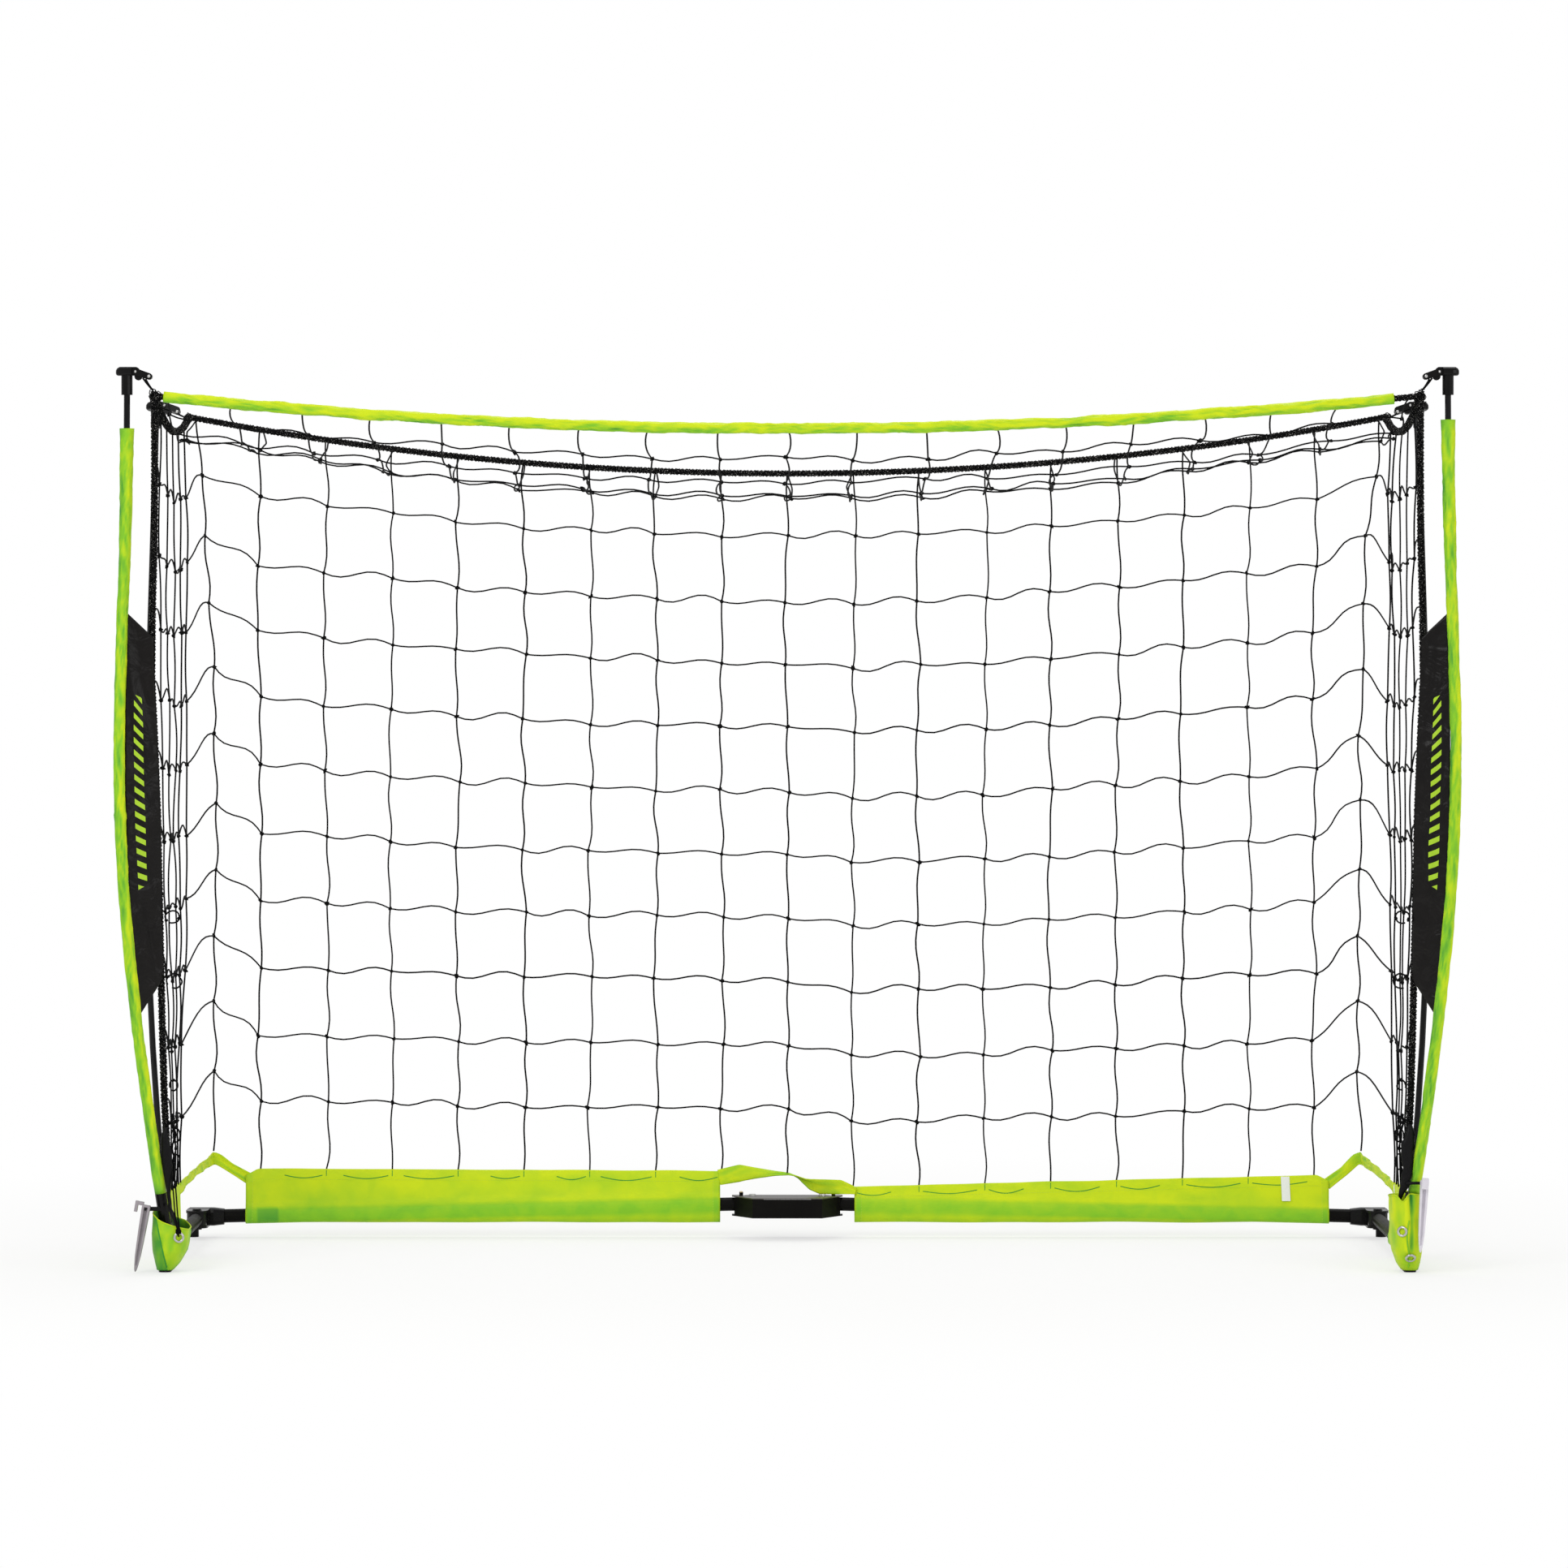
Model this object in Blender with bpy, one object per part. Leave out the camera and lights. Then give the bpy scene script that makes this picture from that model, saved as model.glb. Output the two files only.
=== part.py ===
"""Pop-up soccer goal: a folding tube base, four bowed rods and a knotted net.

Metres, +Z up, mouth towards -Y. The origin lies on the ground at the middle of the goal.
Each piece is modelled for the +X side, and the -X side is its mirror image.
"""

import math

import bmesh
import bpy
from mathutils import Matrix, Vector

# Base frame
ARM_X = 0.893  # side arm, from the middle of the goal
FRONT_Y = -0.2885  # front feet
DEPTH = 0.610  # front feet to rear bar
GAP = 0.0003  # between touching pieces
STEP = 0.0003  # keeps the faces of joined shapes apart
CUT_SPARE = 0.010  # cutters reach past the piece
TUBE_OD = 0.0205
TUBE_WALL = 0.0015
BAR_MID_Z = 0.0505  # the rear bar rises from its corners to the bracket
ARM_Z = 0.031

# Centre bracket
PIVOT_X = 0.053  # the two pivots lie this far either side of the middle
PLATE_T = 0.0015
PLATE_REAR_HALF = 0.084
PLATE_FRONT_HALF = 0.0525
PLATE_REACH = 0.060  # in front of the bar
PLATE_BACK = 0.013  # behind the bar
PLATE_SHOULDER = 0.006  # the plate starts to taper in front of the bar's line
WALL_STOP = 0.002  # the folded body ends in front of the tube
PLATE_CLEAR = 0.0008  # over the tube, which slopes a little
UNDER_BAR = 0.006  # free height under the tube
RIVET_R = 0.0035
RIVET_HEAD_R = 0.0068
RIVET_HEAD_H = 0.0018
STOP_PIN_R = 0.003
STOP_PIN_REACH = 0.017  # stop pin from the pivot
STOP_PIN_RISE = 0.0045  # over the top plate
STOP_PIN_FOOT = 0.003  # under the tube
BAR_STUB = 0.017  # bar end past the pivot

# Rear corner
ELBOW = 0.050  # hinge pin in front of the bar, so that the folded arm lies clear of it
CORNER_HALF_Y = 0.0145
CORNER_HALF_Z = 0.0135
CORNER_INNER = 0.038  # collar from the arm's line towards the middle
CORNER_OUTER = 0.018
CORNER_TAPER = 0.016  # the collar widens over this length
CORNER_MOUTH = 0.0018  # narrower at its inner end
CORNER_CHAMFER = (0.003, 0.002)
FORK_R = 0.0165
FORK_PLATE_T = 0.004
FORK_NECK = 0.004  # root of the fork, in front of the bar's line
FORK_SPARE = 0.001  # slot behind the knuckle
BAR_SEAT = 0.014  # bar end short of the arm's line
PIN_R = 0.004
PIN_HEAD_R = 0.0075
PIN_HEAD_H = 0.0022
CORNER_FOOT_R = 0.008
CORNER_FOOT_OUT = 0.009  # outside the arm's line
CORNER_FOOT_ROOT = 0.004
KNUCKLE_R = 0.015
KNUCKLE_NECK = 0.004  # spigot's root, from the pin's side
SPIGOT_LENGTH = 0.026
ARM_START = 0.0203  # arm tube from the hinge pin

# Front foot
HUB_HEIGHT = 0.070
HUB_MIDDLE = 0.012  # hub centre behind the front socket
SOLE_HALF = (0.0085, 0.022)
SOLE_EDGE_Z = 0.012
SOLE_EDGE_HALF = (0.0108, 0.0275)
HUB_WAIST_Z = 0.030
HUB_HALF = (0.0128, 0.034)
HUB_SHOULDER = 0.006
HUB_SHOULDER_IN = 0.003
SOCKET_R = 0.0083
SOCKET_TOP = 0.112
SOCKET_FLOOR = 0.072
SOCKET_DEPTH = 0.042
SOCKET_ROOT = 0.022
REAR_SOCKET_BACK = 0.026
ARM_SEAT = 0.020  # arm tube end from the hub's centre

# Rods
ROD_R = 0.0045
ROD_FOOT_LENGTH = 0.050  # straight foot of a rod
ROD_TOP_LENGTH = 0.004  # straight top of a rod, under its ferrule
FRONT_ROD_TILT = (0.140, -0.127)  # outwards and back, for each metre up
REAR_ROD_TILT = (0.150, 0.620)
FRONT_TOP_OUT = 0.0525  # outside the arm's line
FRONT_TOP_Z = 1.2845
REAR_TOP_OUT = 0.063
REAR_TOP_Z = 1.2550
REAR_TOP_SHORT = 0.005  # rear rod's top in front of the rear bar
REAR_TOP_TILT = 0.30
FRONT_BOW = (0.62, 0.46)  # handles of the bow's curve at the foot and the top
REAR_BOW = (0.50, 0.42)
SLEEVE_R = 0.0083
SLEEVE_FLARE = 0.0018  # wider at its top hem
SLEEVE_TOP_Z = 1.212

# T cap
FERRULE_R = 0.0081
FERRULE_LENGTH = 0.0275
CAP_HALF_WIDTH = 0.0095
CAP_OUTER = 0.016
CAP_INNER = 0.019
CAP_HEIGHT = 0.0125
CAP_LEVELS = ((0, 0.0025), (0.10, 0.0008), (0.28, 0), (0.62, 0.0002), (0.85, 0.0020), (1, 0.0050))
CAP_ROOT = 0.002  # ferrule in the cap
EAR = (0.0165, -0.0010)  # rounded ear under the cap's inner end: inwards and up from the rod's top
EAR_R = 0.0058
EAR_HALF_T = 0.0028
LINK_FROM = (0.0125, 0.0058)
LINK_TO = (0.0318, -0.0012)
LINK_R = 0.0048
LINK_HALF_T = 0.006
LINK_BRIDGE = 0.0235  # its two cheeks join past this
LINK_RIVET_R = 0.0027
LINK_RIVET_RISE = 0.001
TIE_R = 0.0022
TIE_SLACK = 0.0007  # from the tie's ends to the link and to the border rope

# Net
END_MESH_SHORT = 0.013  # the outermost meshes are narrower
NET_COLUMNS = 18
NET_ROWS = 11
SIDE_COLUMNS = 6
ROOF_ROWS = 4
TWINE_R = 0.0014
ROPE_R = 0.006
NET_END_IN = 0.006  # outer column of the back panel, inside the arm's line
CORNER_OUT = 0.013  # net corners outside the arm's line
FRONT_CORNER_DROP = 0.029  # net corners under the rods' tops
REAR_CORNER_DROP = 0.0105
ROPE_LOW_IN = 0.004  # front border rope, above its foot
ROPE_FOOT_IN = 0.0203  # its foot is tucked into the boot
ROPE_FOOT_Z = 0.080
REAR_ROPE_DROP = 0.0855  # rear border rope's sag at mid width
SIDE_ROPE_DROP = 0.036
CROSSBAR_DROP = 0.0465
ROOF_DROP = 0.050
ROOF_END_GAP = 0.003  # roof panel's ends, from the side panels
END_KNOT_RISE = 0.028  # knots of the outer columns are drawn up
END_FOOT_IN = 0.022  # outer column's foot, at the peak of the corner band
END_FOOT_Z = 0.1305
SIDE_NET_BACK = 0.007  # side panel short of the rear bar
MIDDLE_FOOT_Z = 0.0985  # middle column's foot, on the centre band

# Crossbar
CROSSBAR_R = 0.0087
CROSSBAR_BARE = 0.030  # bare rope at each end

# Soft pieces
SKIRT_HALF_T = 0.0125
SKIRT_EDGE_T = 0.0025
SKIRT_T = 0.0019  # the cloth is doubled
SKIRT_CAVITY_MIN = 0.0006
SKIRT_FOOT = 0.0225
SKIRT_FOLD_HALF = 0.003  # at its lower fold
SKIRT_CHEEK = (0.0008, 0.0085)  # narrower, and this far under the tube's axis
SKIRT_BELLY = 0.004  # widest stretch, either side of the tube's axis
SKIRT_NIP = (0.0032, 0.022)  # half gap where the two layers meet, over the tube's axis
SKIRT_INNER_X = 0.102
SKIRT_OUTER_IN = 0.0705  # inside the arm's line
SKIRT_TOP = {"left": (0.1005, 0.1040), "right": (0.0765, 0.0945)}  # inner and outer end
ARM_SKIRT_TOP = 0.112
ARM_SKIRT_REAR = 0.380  # in front of the rear bar
BAND_HALF_T = 0.0012
CORNER_BAND_HALVES = (0.008, 0.007, 0.0065, 0.007, 0.0085)
CORNER_BAND_FOOT = 0.012  # under the flap's top
CORNER_BAND_PEAK = 0.0075  # under the net's outer column
CORNER_BAND_TURN = 0.024  # in front of the bar
CORNER_BAND_IN = 0.003  # its front end, inside the arm's line
CORNER_BAND_END = 0.009  # under the arm loop's top
CENTRE_BAND = (
    (-0.070, 0.0095),
    (-0.030, 0.0055),
    (0.0, 0.0040),
    (0.030, 0.0038),
    (0.050, 0.0085),
    (0.070, 0.0060),
)  # half heights across the bracket
CENTRE_BAND_ENDS = (0.0105, 0.0048)
BOOT_WALL = 0.0025
BOOT_IN = 0.008  # boot's middle inside the arm's line
BOOT_SOLE_Z = 0.0035
BOOT_SOLE_SPARE = (0.0012, 0.0026)  # over the hub's sole
BOOT_WAIST = (0.0240, 0.0415)
BOOT_BELLY_Z = 0.055
BOOT_BELLY = (0.0270, 0.0445)
BOOT_TOP = 0.086
BOOT_RIM = (0.0245, 0.0415)
BOOT_WAIST_OUT = 0.001
BOOT_CORNER = 0.8  # share of its smaller half
BANNER_OUTER = (0.363, 0.951)
BANNER_INNER = (0.416, 0.913)
BANNER_HALF_T = 0.001
TAB_IN = 0.012
TAB_HALF = (0.0092, 0.004)
TAB_Z = (0.114, 0.205)
TAB_WIDTHS = ((0, 0.25), (0.2, 0.75), (0.5, 1.0), (0.8, 0.8), (1, 0.3))  # shares of its height and width
STRAP_HALF = (0.0022, 0.0006)
STRAP_TOP = (0.003, 0.001)  # inside the tab's line, and over the boot
GROMMET_R = 0.008
GROMMET_HOLE_R = 0.0045
GROMMET_H = 0.0014
GROMMET_ROUND = 0.0015
GROMMET_SEAT = 0.001  # hole in the cloth, over the grommet's hole
CORD_GROMMET = (-0.008, 0.049)  # from the boot's middle, and its height
PEG_GROMMET = (0.002, 0.019)
PEG_HALF = 0.006
PEG_HOOK = 0.0098  # hook beyond the peg's side
PEG_HOOK_T = 0.0036
PEG_PIVOT = 0.006  # cross pin below the head's top
PEG_PIN_R = 0.0016
PEG_PIN_END = 0.0015  # cross pin past the peg
PEG_TAPER = ((0, 1), (0.75, 0.72), (0.97, 0.30), (1, 0.12))  # shares of its length and width
PEG_STRAP_T = 0.0025
PEG_STRAP_HALF = 0.003

REAR_Y = FRONT_Y + DEPTH
PIN_Y = REAR_Y - ELBOW
TUBE_R = TUBE_OD / 2
PLATE_UNDER = BAR_MID_Z + TUBE_R + PLATE_CLEAR
PLATE_TOP = PLATE_UNDER + PLATE_T
FLOOR_PLATE_TOP = BAR_MID_Z - TUBE_R - UNDER_BAR
FLOOR_PLATE_UNDER = FLOOR_PLATE_TOP - PLATE_T
SIDE_REAR_Y = REAR_Y - SIDE_NET_BACK
FRONT_TOP_X = ARM_X + FRONT_TOP_OUT
REAR_TOP_X = ARM_X + REAR_TOP_OUT
NET_END_X = ARM_X - NET_END_IN
MESH = (NET_END_X + END_MESH_SHORT) / (NET_COLUMNS // 2)
CORNER_X = ARM_X + CORNER_OUT
ROPE_LOW_X = ARM_X - ROPE_LOW_IN
ROPE_FOOT = (ARM_X - ROPE_FOOT_IN, ROPE_FOOT_Z)
END_FOOT_X = ARM_X - END_FOOT_IN
SKIRT_OUTER_X = ARM_X - SKIRT_OUTER_IN
BOOT_X = ARM_X - BOOT_IN
TAB_X = ARM_X - TAB_IN
FRONT_CORNER_Z = FRONT_TOP_Z - FRONT_CORNER_DROP
REAR_CORNER_Z = REAR_TOP_Z - REAR_CORNER_DROP
CROSSBAR_HALF = CORNER_X - CROSSBAR_BARE
TAB_Y = FRONT_Y - ROPE_R - 2 * GAP - TAB_HALF[1]
LEFT_PEG_Y = FRONT_Y - 0.0165
RIGHT_PEG_Y = FRONT_Y + HUB_MIDDLE - BOOT_BELLY[1] - PEG_HALF - 2 * GAP

# Head, tip and hook's direction of each ground peg, and where its strap starts
PEGS = {
    "left": ((ARM_X + 0.025, LEFT_PEG_Y, 0.097), (ARM_X + 0.0415, LEFT_PEG_Y, 0.0015), (1, 0, 0)),
    "right": ((ARM_X + 0.0175, RIGHT_PEG_Y, 0.134), (ARM_X + 0.0115, RIGHT_PEG_Y, 0.031), (0, -1, 0)),
}
PEG_STRAP_STARTS = {"left": (ARM_X + 0.0055, FRONT_Y - 0.003), "right": (TAB_X, TAB_Y)}

BLACK_STEEL = ("powder_coated_steel", (0.012, 0.012, 0.012), 0.38, 0.0)
BLACK_PLASTIC = ("black_nylon", (0.010, 0.010, 0.010), 0.42, 0.0)
RIVET_STEEL = ("zinc_plated_steel", (0.45, 0.44, 0.42), 0.35, 1.0)
FIBREGLASS = ("fibreglass", (0.010, 0.010, 0.011), 0.30, 0.0)
LIME_CLOTH = ("lime_polyester", (0.45, 0.68, 0.03), 0.60, 0.0)
BLACK_CLOTH = ("black_satin_polyester", (0.012, 0.011, 0.011), 0.40, 0.0)
TWINE = ("black_netting_twine", (0.008, 0.008, 0.008), 0.75, 0.0)
GREY_PLASTIC = ("grey_plastic", (0.25, 0.22, 0.24), 0.50, 0.0)
PALE_PLASTIC = ("pale_plastic", (0.62, 0.58, 0.66), 0.45, 0.0)
PEG_FINISH = {"left": GREY_PLASTIC, "right": PALE_PLASTIC}


def clear_scene():
    for item in list(bpy.data.objects):
        bpy.data.objects.remove(item)


def finish_of(finish):
    name, colour, roughness, metallic = finish
    found = bpy.data.materials.get(name)
    if found:
        return found
    made = bpy.data.materials.new(name)
    made.use_nodes = True
    shader = made.node_tree.nodes["Principled BSDF"]
    shader.inputs["Base Color"].default_value = (*colour, 1)
    shader.inputs["Roughness"].default_value = roughness
    shader.inputs["Metallic"].default_value = metallic
    return made


def body_empty(name, place, parent=None):
    """An empty on a body's joint axis, which carries that body's pieces."""
    empty = bpy.data.objects.new(name, None)
    bpy.context.collection.objects.link(empty)
    empty.matrix_world = Matrix.Translation(place)
    if parent:
        empty.parent = parent
        empty.matrix_parent_inverse = Matrix.Translation(parent.matrix_world.translation).inverted()
    bpy.context.view_layer.update()
    return empty


def carry(item, empty):
    item.parent = empty
    item.matrix_parent_inverse = empty.matrix_world.inverted()


def solid(name, shape, finish, empty=None, side=1, smooth=35):
    """Makes a piece from a bmesh that was built for the +X side."""
    bmesh.ops.remove_doubles(shape, verts=shape.verts, dist=1e-6)
    if side < 0:
        bmesh.ops.scale(shape, vec=(-1, 1, 1), verts=shape.verts)
    bmesh.ops.recalc_face_normals(shape, faces=shape.faces)
    mesh = bpy.data.meshes.new(name)
    shape.to_mesh(mesh)
    shape.free()
    item = bpy.data.objects.new(name, mesh)
    bpy.context.collection.objects.link(item)
    if finish:
        mesh.materials.append(finish_of(finish))
        mesh.shade_smooth()
        mesh.set_sharp_from_angle(angle=math.radians(smooth))
    if empty:
        carry(item, empty)
    return item


def tool_piece(shape, side=1):
    """A hidden helper that is joined to a piece or cut from it."""
    item = solid("helper", shape, None, side=side)
    item.hide_render = True
    item.display_type = "WIRE"
    return item


def boolean(item, shape, operation, side=1):
    made = item.modifiers.new(operation.lower(), "BOOLEAN")
    made.operation = operation
    made.solver = "EXACT"
    made.object = tool_piece(shape, side)


def rod(name, points, radius, finish, empty, side=1, resolution=2):
    """A round bar along points: a curve with a bevel and filled caps."""
    curve = bpy.data.curves.new(name, "CURVE")
    curve.dimensions = "3D"
    curve.bevel_depth = radius
    curve.bevel_resolution = resolution
    curve.use_fill_caps = True
    spline = curve.splines.new("POLY")
    spline.points.add(len(points) - 1)
    for place, point in zip(spline.points, points):
        place.co = (point[0] * side, point[1], point[2], 1)
    curve.materials.append(finish_of(finish))
    item = bpy.data.objects.new(name, curve)
    bpy.context.collection.objects.link(item)
    carry(item, empty)
    return item


def turned(profile, sides=16, ring=False):
    """Spins (radius, height) points round Z: a closed loop for a ring, else flat ends are added."""
    shape = bmesh.new()
    verts = [shape.verts.new((r, 0, z)) for r, z in profile]
    edges = [shape.edges.new(pair) for pair in zip(verts, verts[1:])]
    if ring:
        edges.append(shape.edges.new((verts[-1], verts[0])))
    bmesh.ops.spin(
        shape,
        geom=verts + edges,
        cent=(0, 0, 0),
        axis=(0, 0, 1),
        angle=2 * math.pi,
        steps=sides,
        use_merge=True,
    )
    bmesh.ops.remove_doubles(shape, verts=shape.verts, dist=1e-6)
    if not ring:
        rims = [edge for edge in shape.edges if edge.is_boundary]
        bmesh.ops.holes_fill(shape, edges=rims, sides=sides)
    return shape


def cylinder(radius, low, high, sides=16):
    return turned([(radius, low), (radius, high)], sides)


def pipe(inner, outer, length, sides=16):
    return turned([(inner, 0), (outer, 0), (outer, length), (inner, length)], sides, ring=True)


def aimed(shape, start, along):
    """Turns a shape's +Z to a direction and moves its origin to start."""
    turn = Vector(along).to_track_quat("Z", "Y").to_matrix().to_4x4()
    bmesh.ops.transform(shape, matrix=Matrix.Translation(start) @ turn, verts=shape.verts)
    return shape


def moved(shape, offset):
    bmesh.ops.translate(shape, vec=offset, verts=shape.verts)
    return shape


def box(low, high):
    shape = bmesh.new()
    bmesh.ops.create_cube(shape, size=1)
    size = [b - a for a, b in zip(low, high)]
    middle = [(a + b) / 2 for a, b in zip(low, high)]
    bmesh.ops.scale(shape, vec=size, verts=shape.verts)
    return moved(shape, middle)


def prism(outline, low, high):
    """A flat outline in X and Y, extruded from one height to another."""
    shape = bmesh.new()
    face = shape.faces.new([shape.verts.new((x, y, low)) for x, y in outline])
    raised = bmesh.ops.extrude_face_region(shape, geom=[face])["geom"]
    tops = [part for part in raised if isinstance(part, bmesh.types.BMVert)]
    bmesh.ops.translate(shape, vec=(0, 0, high - low), verts=tops)
    return shape


def lofted(rings, closed=False):
    """Skins rings of equal length one after another, with end caps unless it closes on itself."""
    shape = bmesh.new()
    rows = [[shape.verts.new(point) for point in ring] for ring in rings]
    pairs = list(zip(rows, rows[1:]))
    if closed:
        pairs.append((rows[-1], rows[0]))
    else:
        shape.faces.new(rows[0])
        shape.faces.new(rows[-1])
    for near, far in pairs:
        for i in range(len(near)):
            j = (i + 1) % len(near)
            shape.faces.new((near[i], near[j], far[j], far[i]))
    return shape


def rounded_ring(middle, half_x, half_y, z, corner=0.6, steps=3):
    """A rounded rectangle at one height. corner is its corner radius as a share of the smaller half."""
    radius = corner * min(half_x, half_y)
    points = []
    for turn in range(4):
        sx = 1 if turn in (0, 3) else -1
        sy = 1 if turn in (0, 1) else -1
        for step in range(steps + 1):
            angle = math.pi / 2 * (turn + step / steps)
            points.append(
                (
                    middle[0] + sx * (half_x - radius) + radius * math.cos(angle),
                    middle[1] + sy * (half_y - radius) + radius * math.sin(angle),
                    z,
                )
            )
    return points


def arc(middle, radius, start, end, steps):
    """Points along an arc, in degrees."""
    angles = [math.radians(start + (end - start) * i / steps) for i in range(steps + 1)]
    return [(middle[0] + radius * math.cos(a), middle[1] + radius * math.sin(a)) for a in angles]


def bezier(points, t):
    a, b, c, d = points
    return (1 - t) ** 3 * a + 3 * (1 - t) ** 2 * t * b + 3 * (1 - t) * t**2 * c + t**3 * d


def bar_z(x):
    """Height of the rear bar's axis."""
    return BAR_MID_Z + (ARM_Z - BAR_MID_Z) * (x - PIVOT_X) / (ARM_X - PIVOT_X)


def bar_point(x):
    return Vector((x, REAR_Y, bar_z(x)))


def skirt_top(name, x):
    inner, outer = SKIRT_TOP[name]
    share = (x - SKIRT_INNER_X) / (SKIRT_OUTER_X - SKIRT_INNER_X)
    return inner + (outer - inner) * share


def sag(low, high, drop, share):
    """A hanging line between two heights."""
    return low + (high - low) * share - drop * 4 * share * (1 - share)


def rear_rope_z(x):
    return REAR_CORNER_Z - REAR_ROPE_DROP * (1 - (x / CORNER_X) ** 2)


def crossbar_z(x):
    return FRONT_CORNER_Z - CROSSBAR_DROP * (1 - (x / CORNER_X) ** 2)


def edge_rope_x(z):
    share = max(0.0, (z - SOCKET_TOP) / (FRONT_CORNER_Z - SOCKET_TOP))
    return ROPE_LOW_X + (CORNER_X - ROPE_LOW_X) * share**2


def hem_share(y):
    """How far along the corner band a point lies, from the arm's loop at 0 to the rear bar at 1."""
    start = REAR_Y - ARM_SKIRT_REAR
    return max(0.0, (y - start) / (REAR_Y - start))


def hem_top(y):
    """Top of the arm's loop and, behind it, of the corner band."""
    peak = END_FOOT_Z - TWINE_R - GAP
    return ARM_SKIRT_TOP + (peak - ARM_SKIRT_TOP) * hem_share(y)


def hem_x(y):
    """Line of the corner band along the side."""
    start = ARM_X - CORNER_BAND_IN
    return start + (END_FOOT_X + 2 * TWINE_R + GAP - start) * hem_share(y)


def end_column_x(share):
    """Outer column of the back panel, from its foot to the border rope."""
    return END_FOOT_X + (NET_END_X - END_FOOT_X) * min(1.0, 4 * share)


def middle_foot_z(x):
    """Lowest strand of the net's middle panel."""
    side = "left" if x < 0 else "right"
    outer = skirt_top(side, SKIRT_INNER_X) + GAP + TWINE_R
    return MIDDLE_FOOT_Z + (outer - MIDDLE_FOOT_Z) * abs(x) / MESH


class RodPath:
    """The straight foot, the bow and the straight top of one rod."""

    def __init__(self, foot, lean, top, top_axis, bow, steps):
        self.axis = Vector((lean[0], lean[1], 1)).normalized()
        self.foot = Vector(foot)
        self.top_axis = Vector(top_axis).normalized()
        self.top = Vector(top)
        self.steps = steps
        low = self.foot + self.axis * ROD_FOOT_LENGTH
        high = self.top - self.top_axis * (FERRULE_LENGTH + ROD_TOP_LENGTH)
        self.curve = (low, low + self.axis * bow[0], high - self.top_axis * bow[1], high)

    def points(self):
        bowed = [bezier(self.curve, i / self.steps) for i in range(self.steps + 1)]
        return [self.foot + self.axis * GAP, *bowed, self.top - self.top_axis * GAP]

    def at_height(self, z):
        low, high = 0.0, 1.0
        for _ in range(40):
            middle = (low + high) / 2
            if bezier(self.curve, middle).z < z:
                low = middle
            else:
                high = middle
        return bezier(self.curve, (low + high) / 2)


FRONT_ROD = RodPath(
    (ARM_X, FRONT_Y, SOCKET_FLOOR),
    FRONT_ROD_TILT,
    (FRONT_TOP_X, FRONT_Y, FRONT_TOP_Z),
    (0, 0, 1),
    FRONT_BOW,
    14,
)
REAR_ROD = RodPath(
    (ARM_X, FRONT_Y + REAR_SOCKET_BACK, SOCKET_FLOOR),
    REAR_ROD_TILT,
    (REAR_TOP_X, REAR_Y - REAR_TOP_SHORT, REAR_TOP_Z),
    (0, REAR_TOP_TILT, 1),
    REAR_BOW,
    12,
)


def plate_outline(inset=0.0):
    rear = REAR_Y + PLATE_BACK
    front = REAR_Y - PLATE_REACH + inset
    wide = PLATE_REAR_HALF - inset
    narrow = PLATE_FRONT_HALF - inset / 2
    shoulder = REAR_Y - PLATE_SHOULDER
    right = [(narrow, front), (wide, shoulder), (wide, rear)]
    return right + [(-x, y) for x, y in right[::-1]]


def centre_bracket(body):
    """Folded steel body, top plate, and the two pivot rivets."""
    top = solid("bracket_top_plate", prism(plate_outline(), PLATE_UNDER, PLATE_TOP), BLACK_STEEL, body)
    shell = solid(
        "bracket_body",
        prism(plate_outline(), FLOOR_PLATE_UNDER, PLATE_UNDER - GAP),
        BLACK_STEEL,
        body,
    )
    inside = prism(plate_outline(PLATE_T), FLOOR_PLATE_TOP, PLATE_TOP)
    boolean(shell, inside, "DIFFERENCE")
    behind = (REAR_Y - TUBE_R - WALL_STOP, REAR_Y + 2 * PLATE_BACK)
    wide = 2 * PLATE_REAR_HALF
    boolean(shell, box((-wide, behind[0], FLOOR_PLATE_TOP), (wide, behind[1], PLATE_TOP)), "DIFFERENCE")
    for side, name in ((-1, "left"), (1, "right")):
        for piece in (top, shell):
            hole = cylinder(RIVET_R + GAP, FLOOR_PLATE_UNDER - CUT_SPARE, PLATE_TOP + CUT_SPARE)
            boolean(piece, moved(hole, (PIVOT_X, REAR_Y, 0)), "DIFFERENCE", side)
        clear = STOP_PIN_R + 2 * GAP
        rest = -math.degrees(math.asin((STOP_PIN_R + GAP) / STOP_PIN_REACH))
        pivot = (PIVOT_X, REAR_Y)
        slot = arc(pivot, STOP_PIN_REACH - clear, rest, 90, 6)
        slot += arc(pivot, STOP_PIN_REACH + clear, 90, rest, 6)
        boolean(top, prism(slot, PLATE_UNDER - CUT_SPARE, PLATE_TOP + CUT_SPARE), "DIFFERENCE", side)
        low_head = FLOOR_PLATE_UNDER - GAP
        high_head = PLATE_TOP + GAP
        tube_low = BAR_MID_Z - TUBE_R - PLATE_CLEAR
        profile = [
            (RIVET_HEAD_R, low_head - RIVET_HEAD_H),
            (RIVET_HEAD_R, low_head),
            (RIVET_R, low_head),
            (RIVET_R, FLOOR_PLATE_TOP + GAP),
            (RIVET_HEAD_R, FLOOR_PLATE_TOP + GAP),
            (RIVET_HEAD_R, tube_low),
            (RIVET_R, tube_low),
            (RIVET_R, high_head),
            (RIVET_HEAD_R, high_head),
            (RIVET_HEAD_R * 0.7, high_head + RIVET_HEAD_H),
        ]
        rivet = moved(turned(profile, 12), (PIVOT_X, REAR_Y, 0))
        solid(f"pivot_rivet_{name}", rivet, RIVET_STEEL, body, side)


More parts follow.
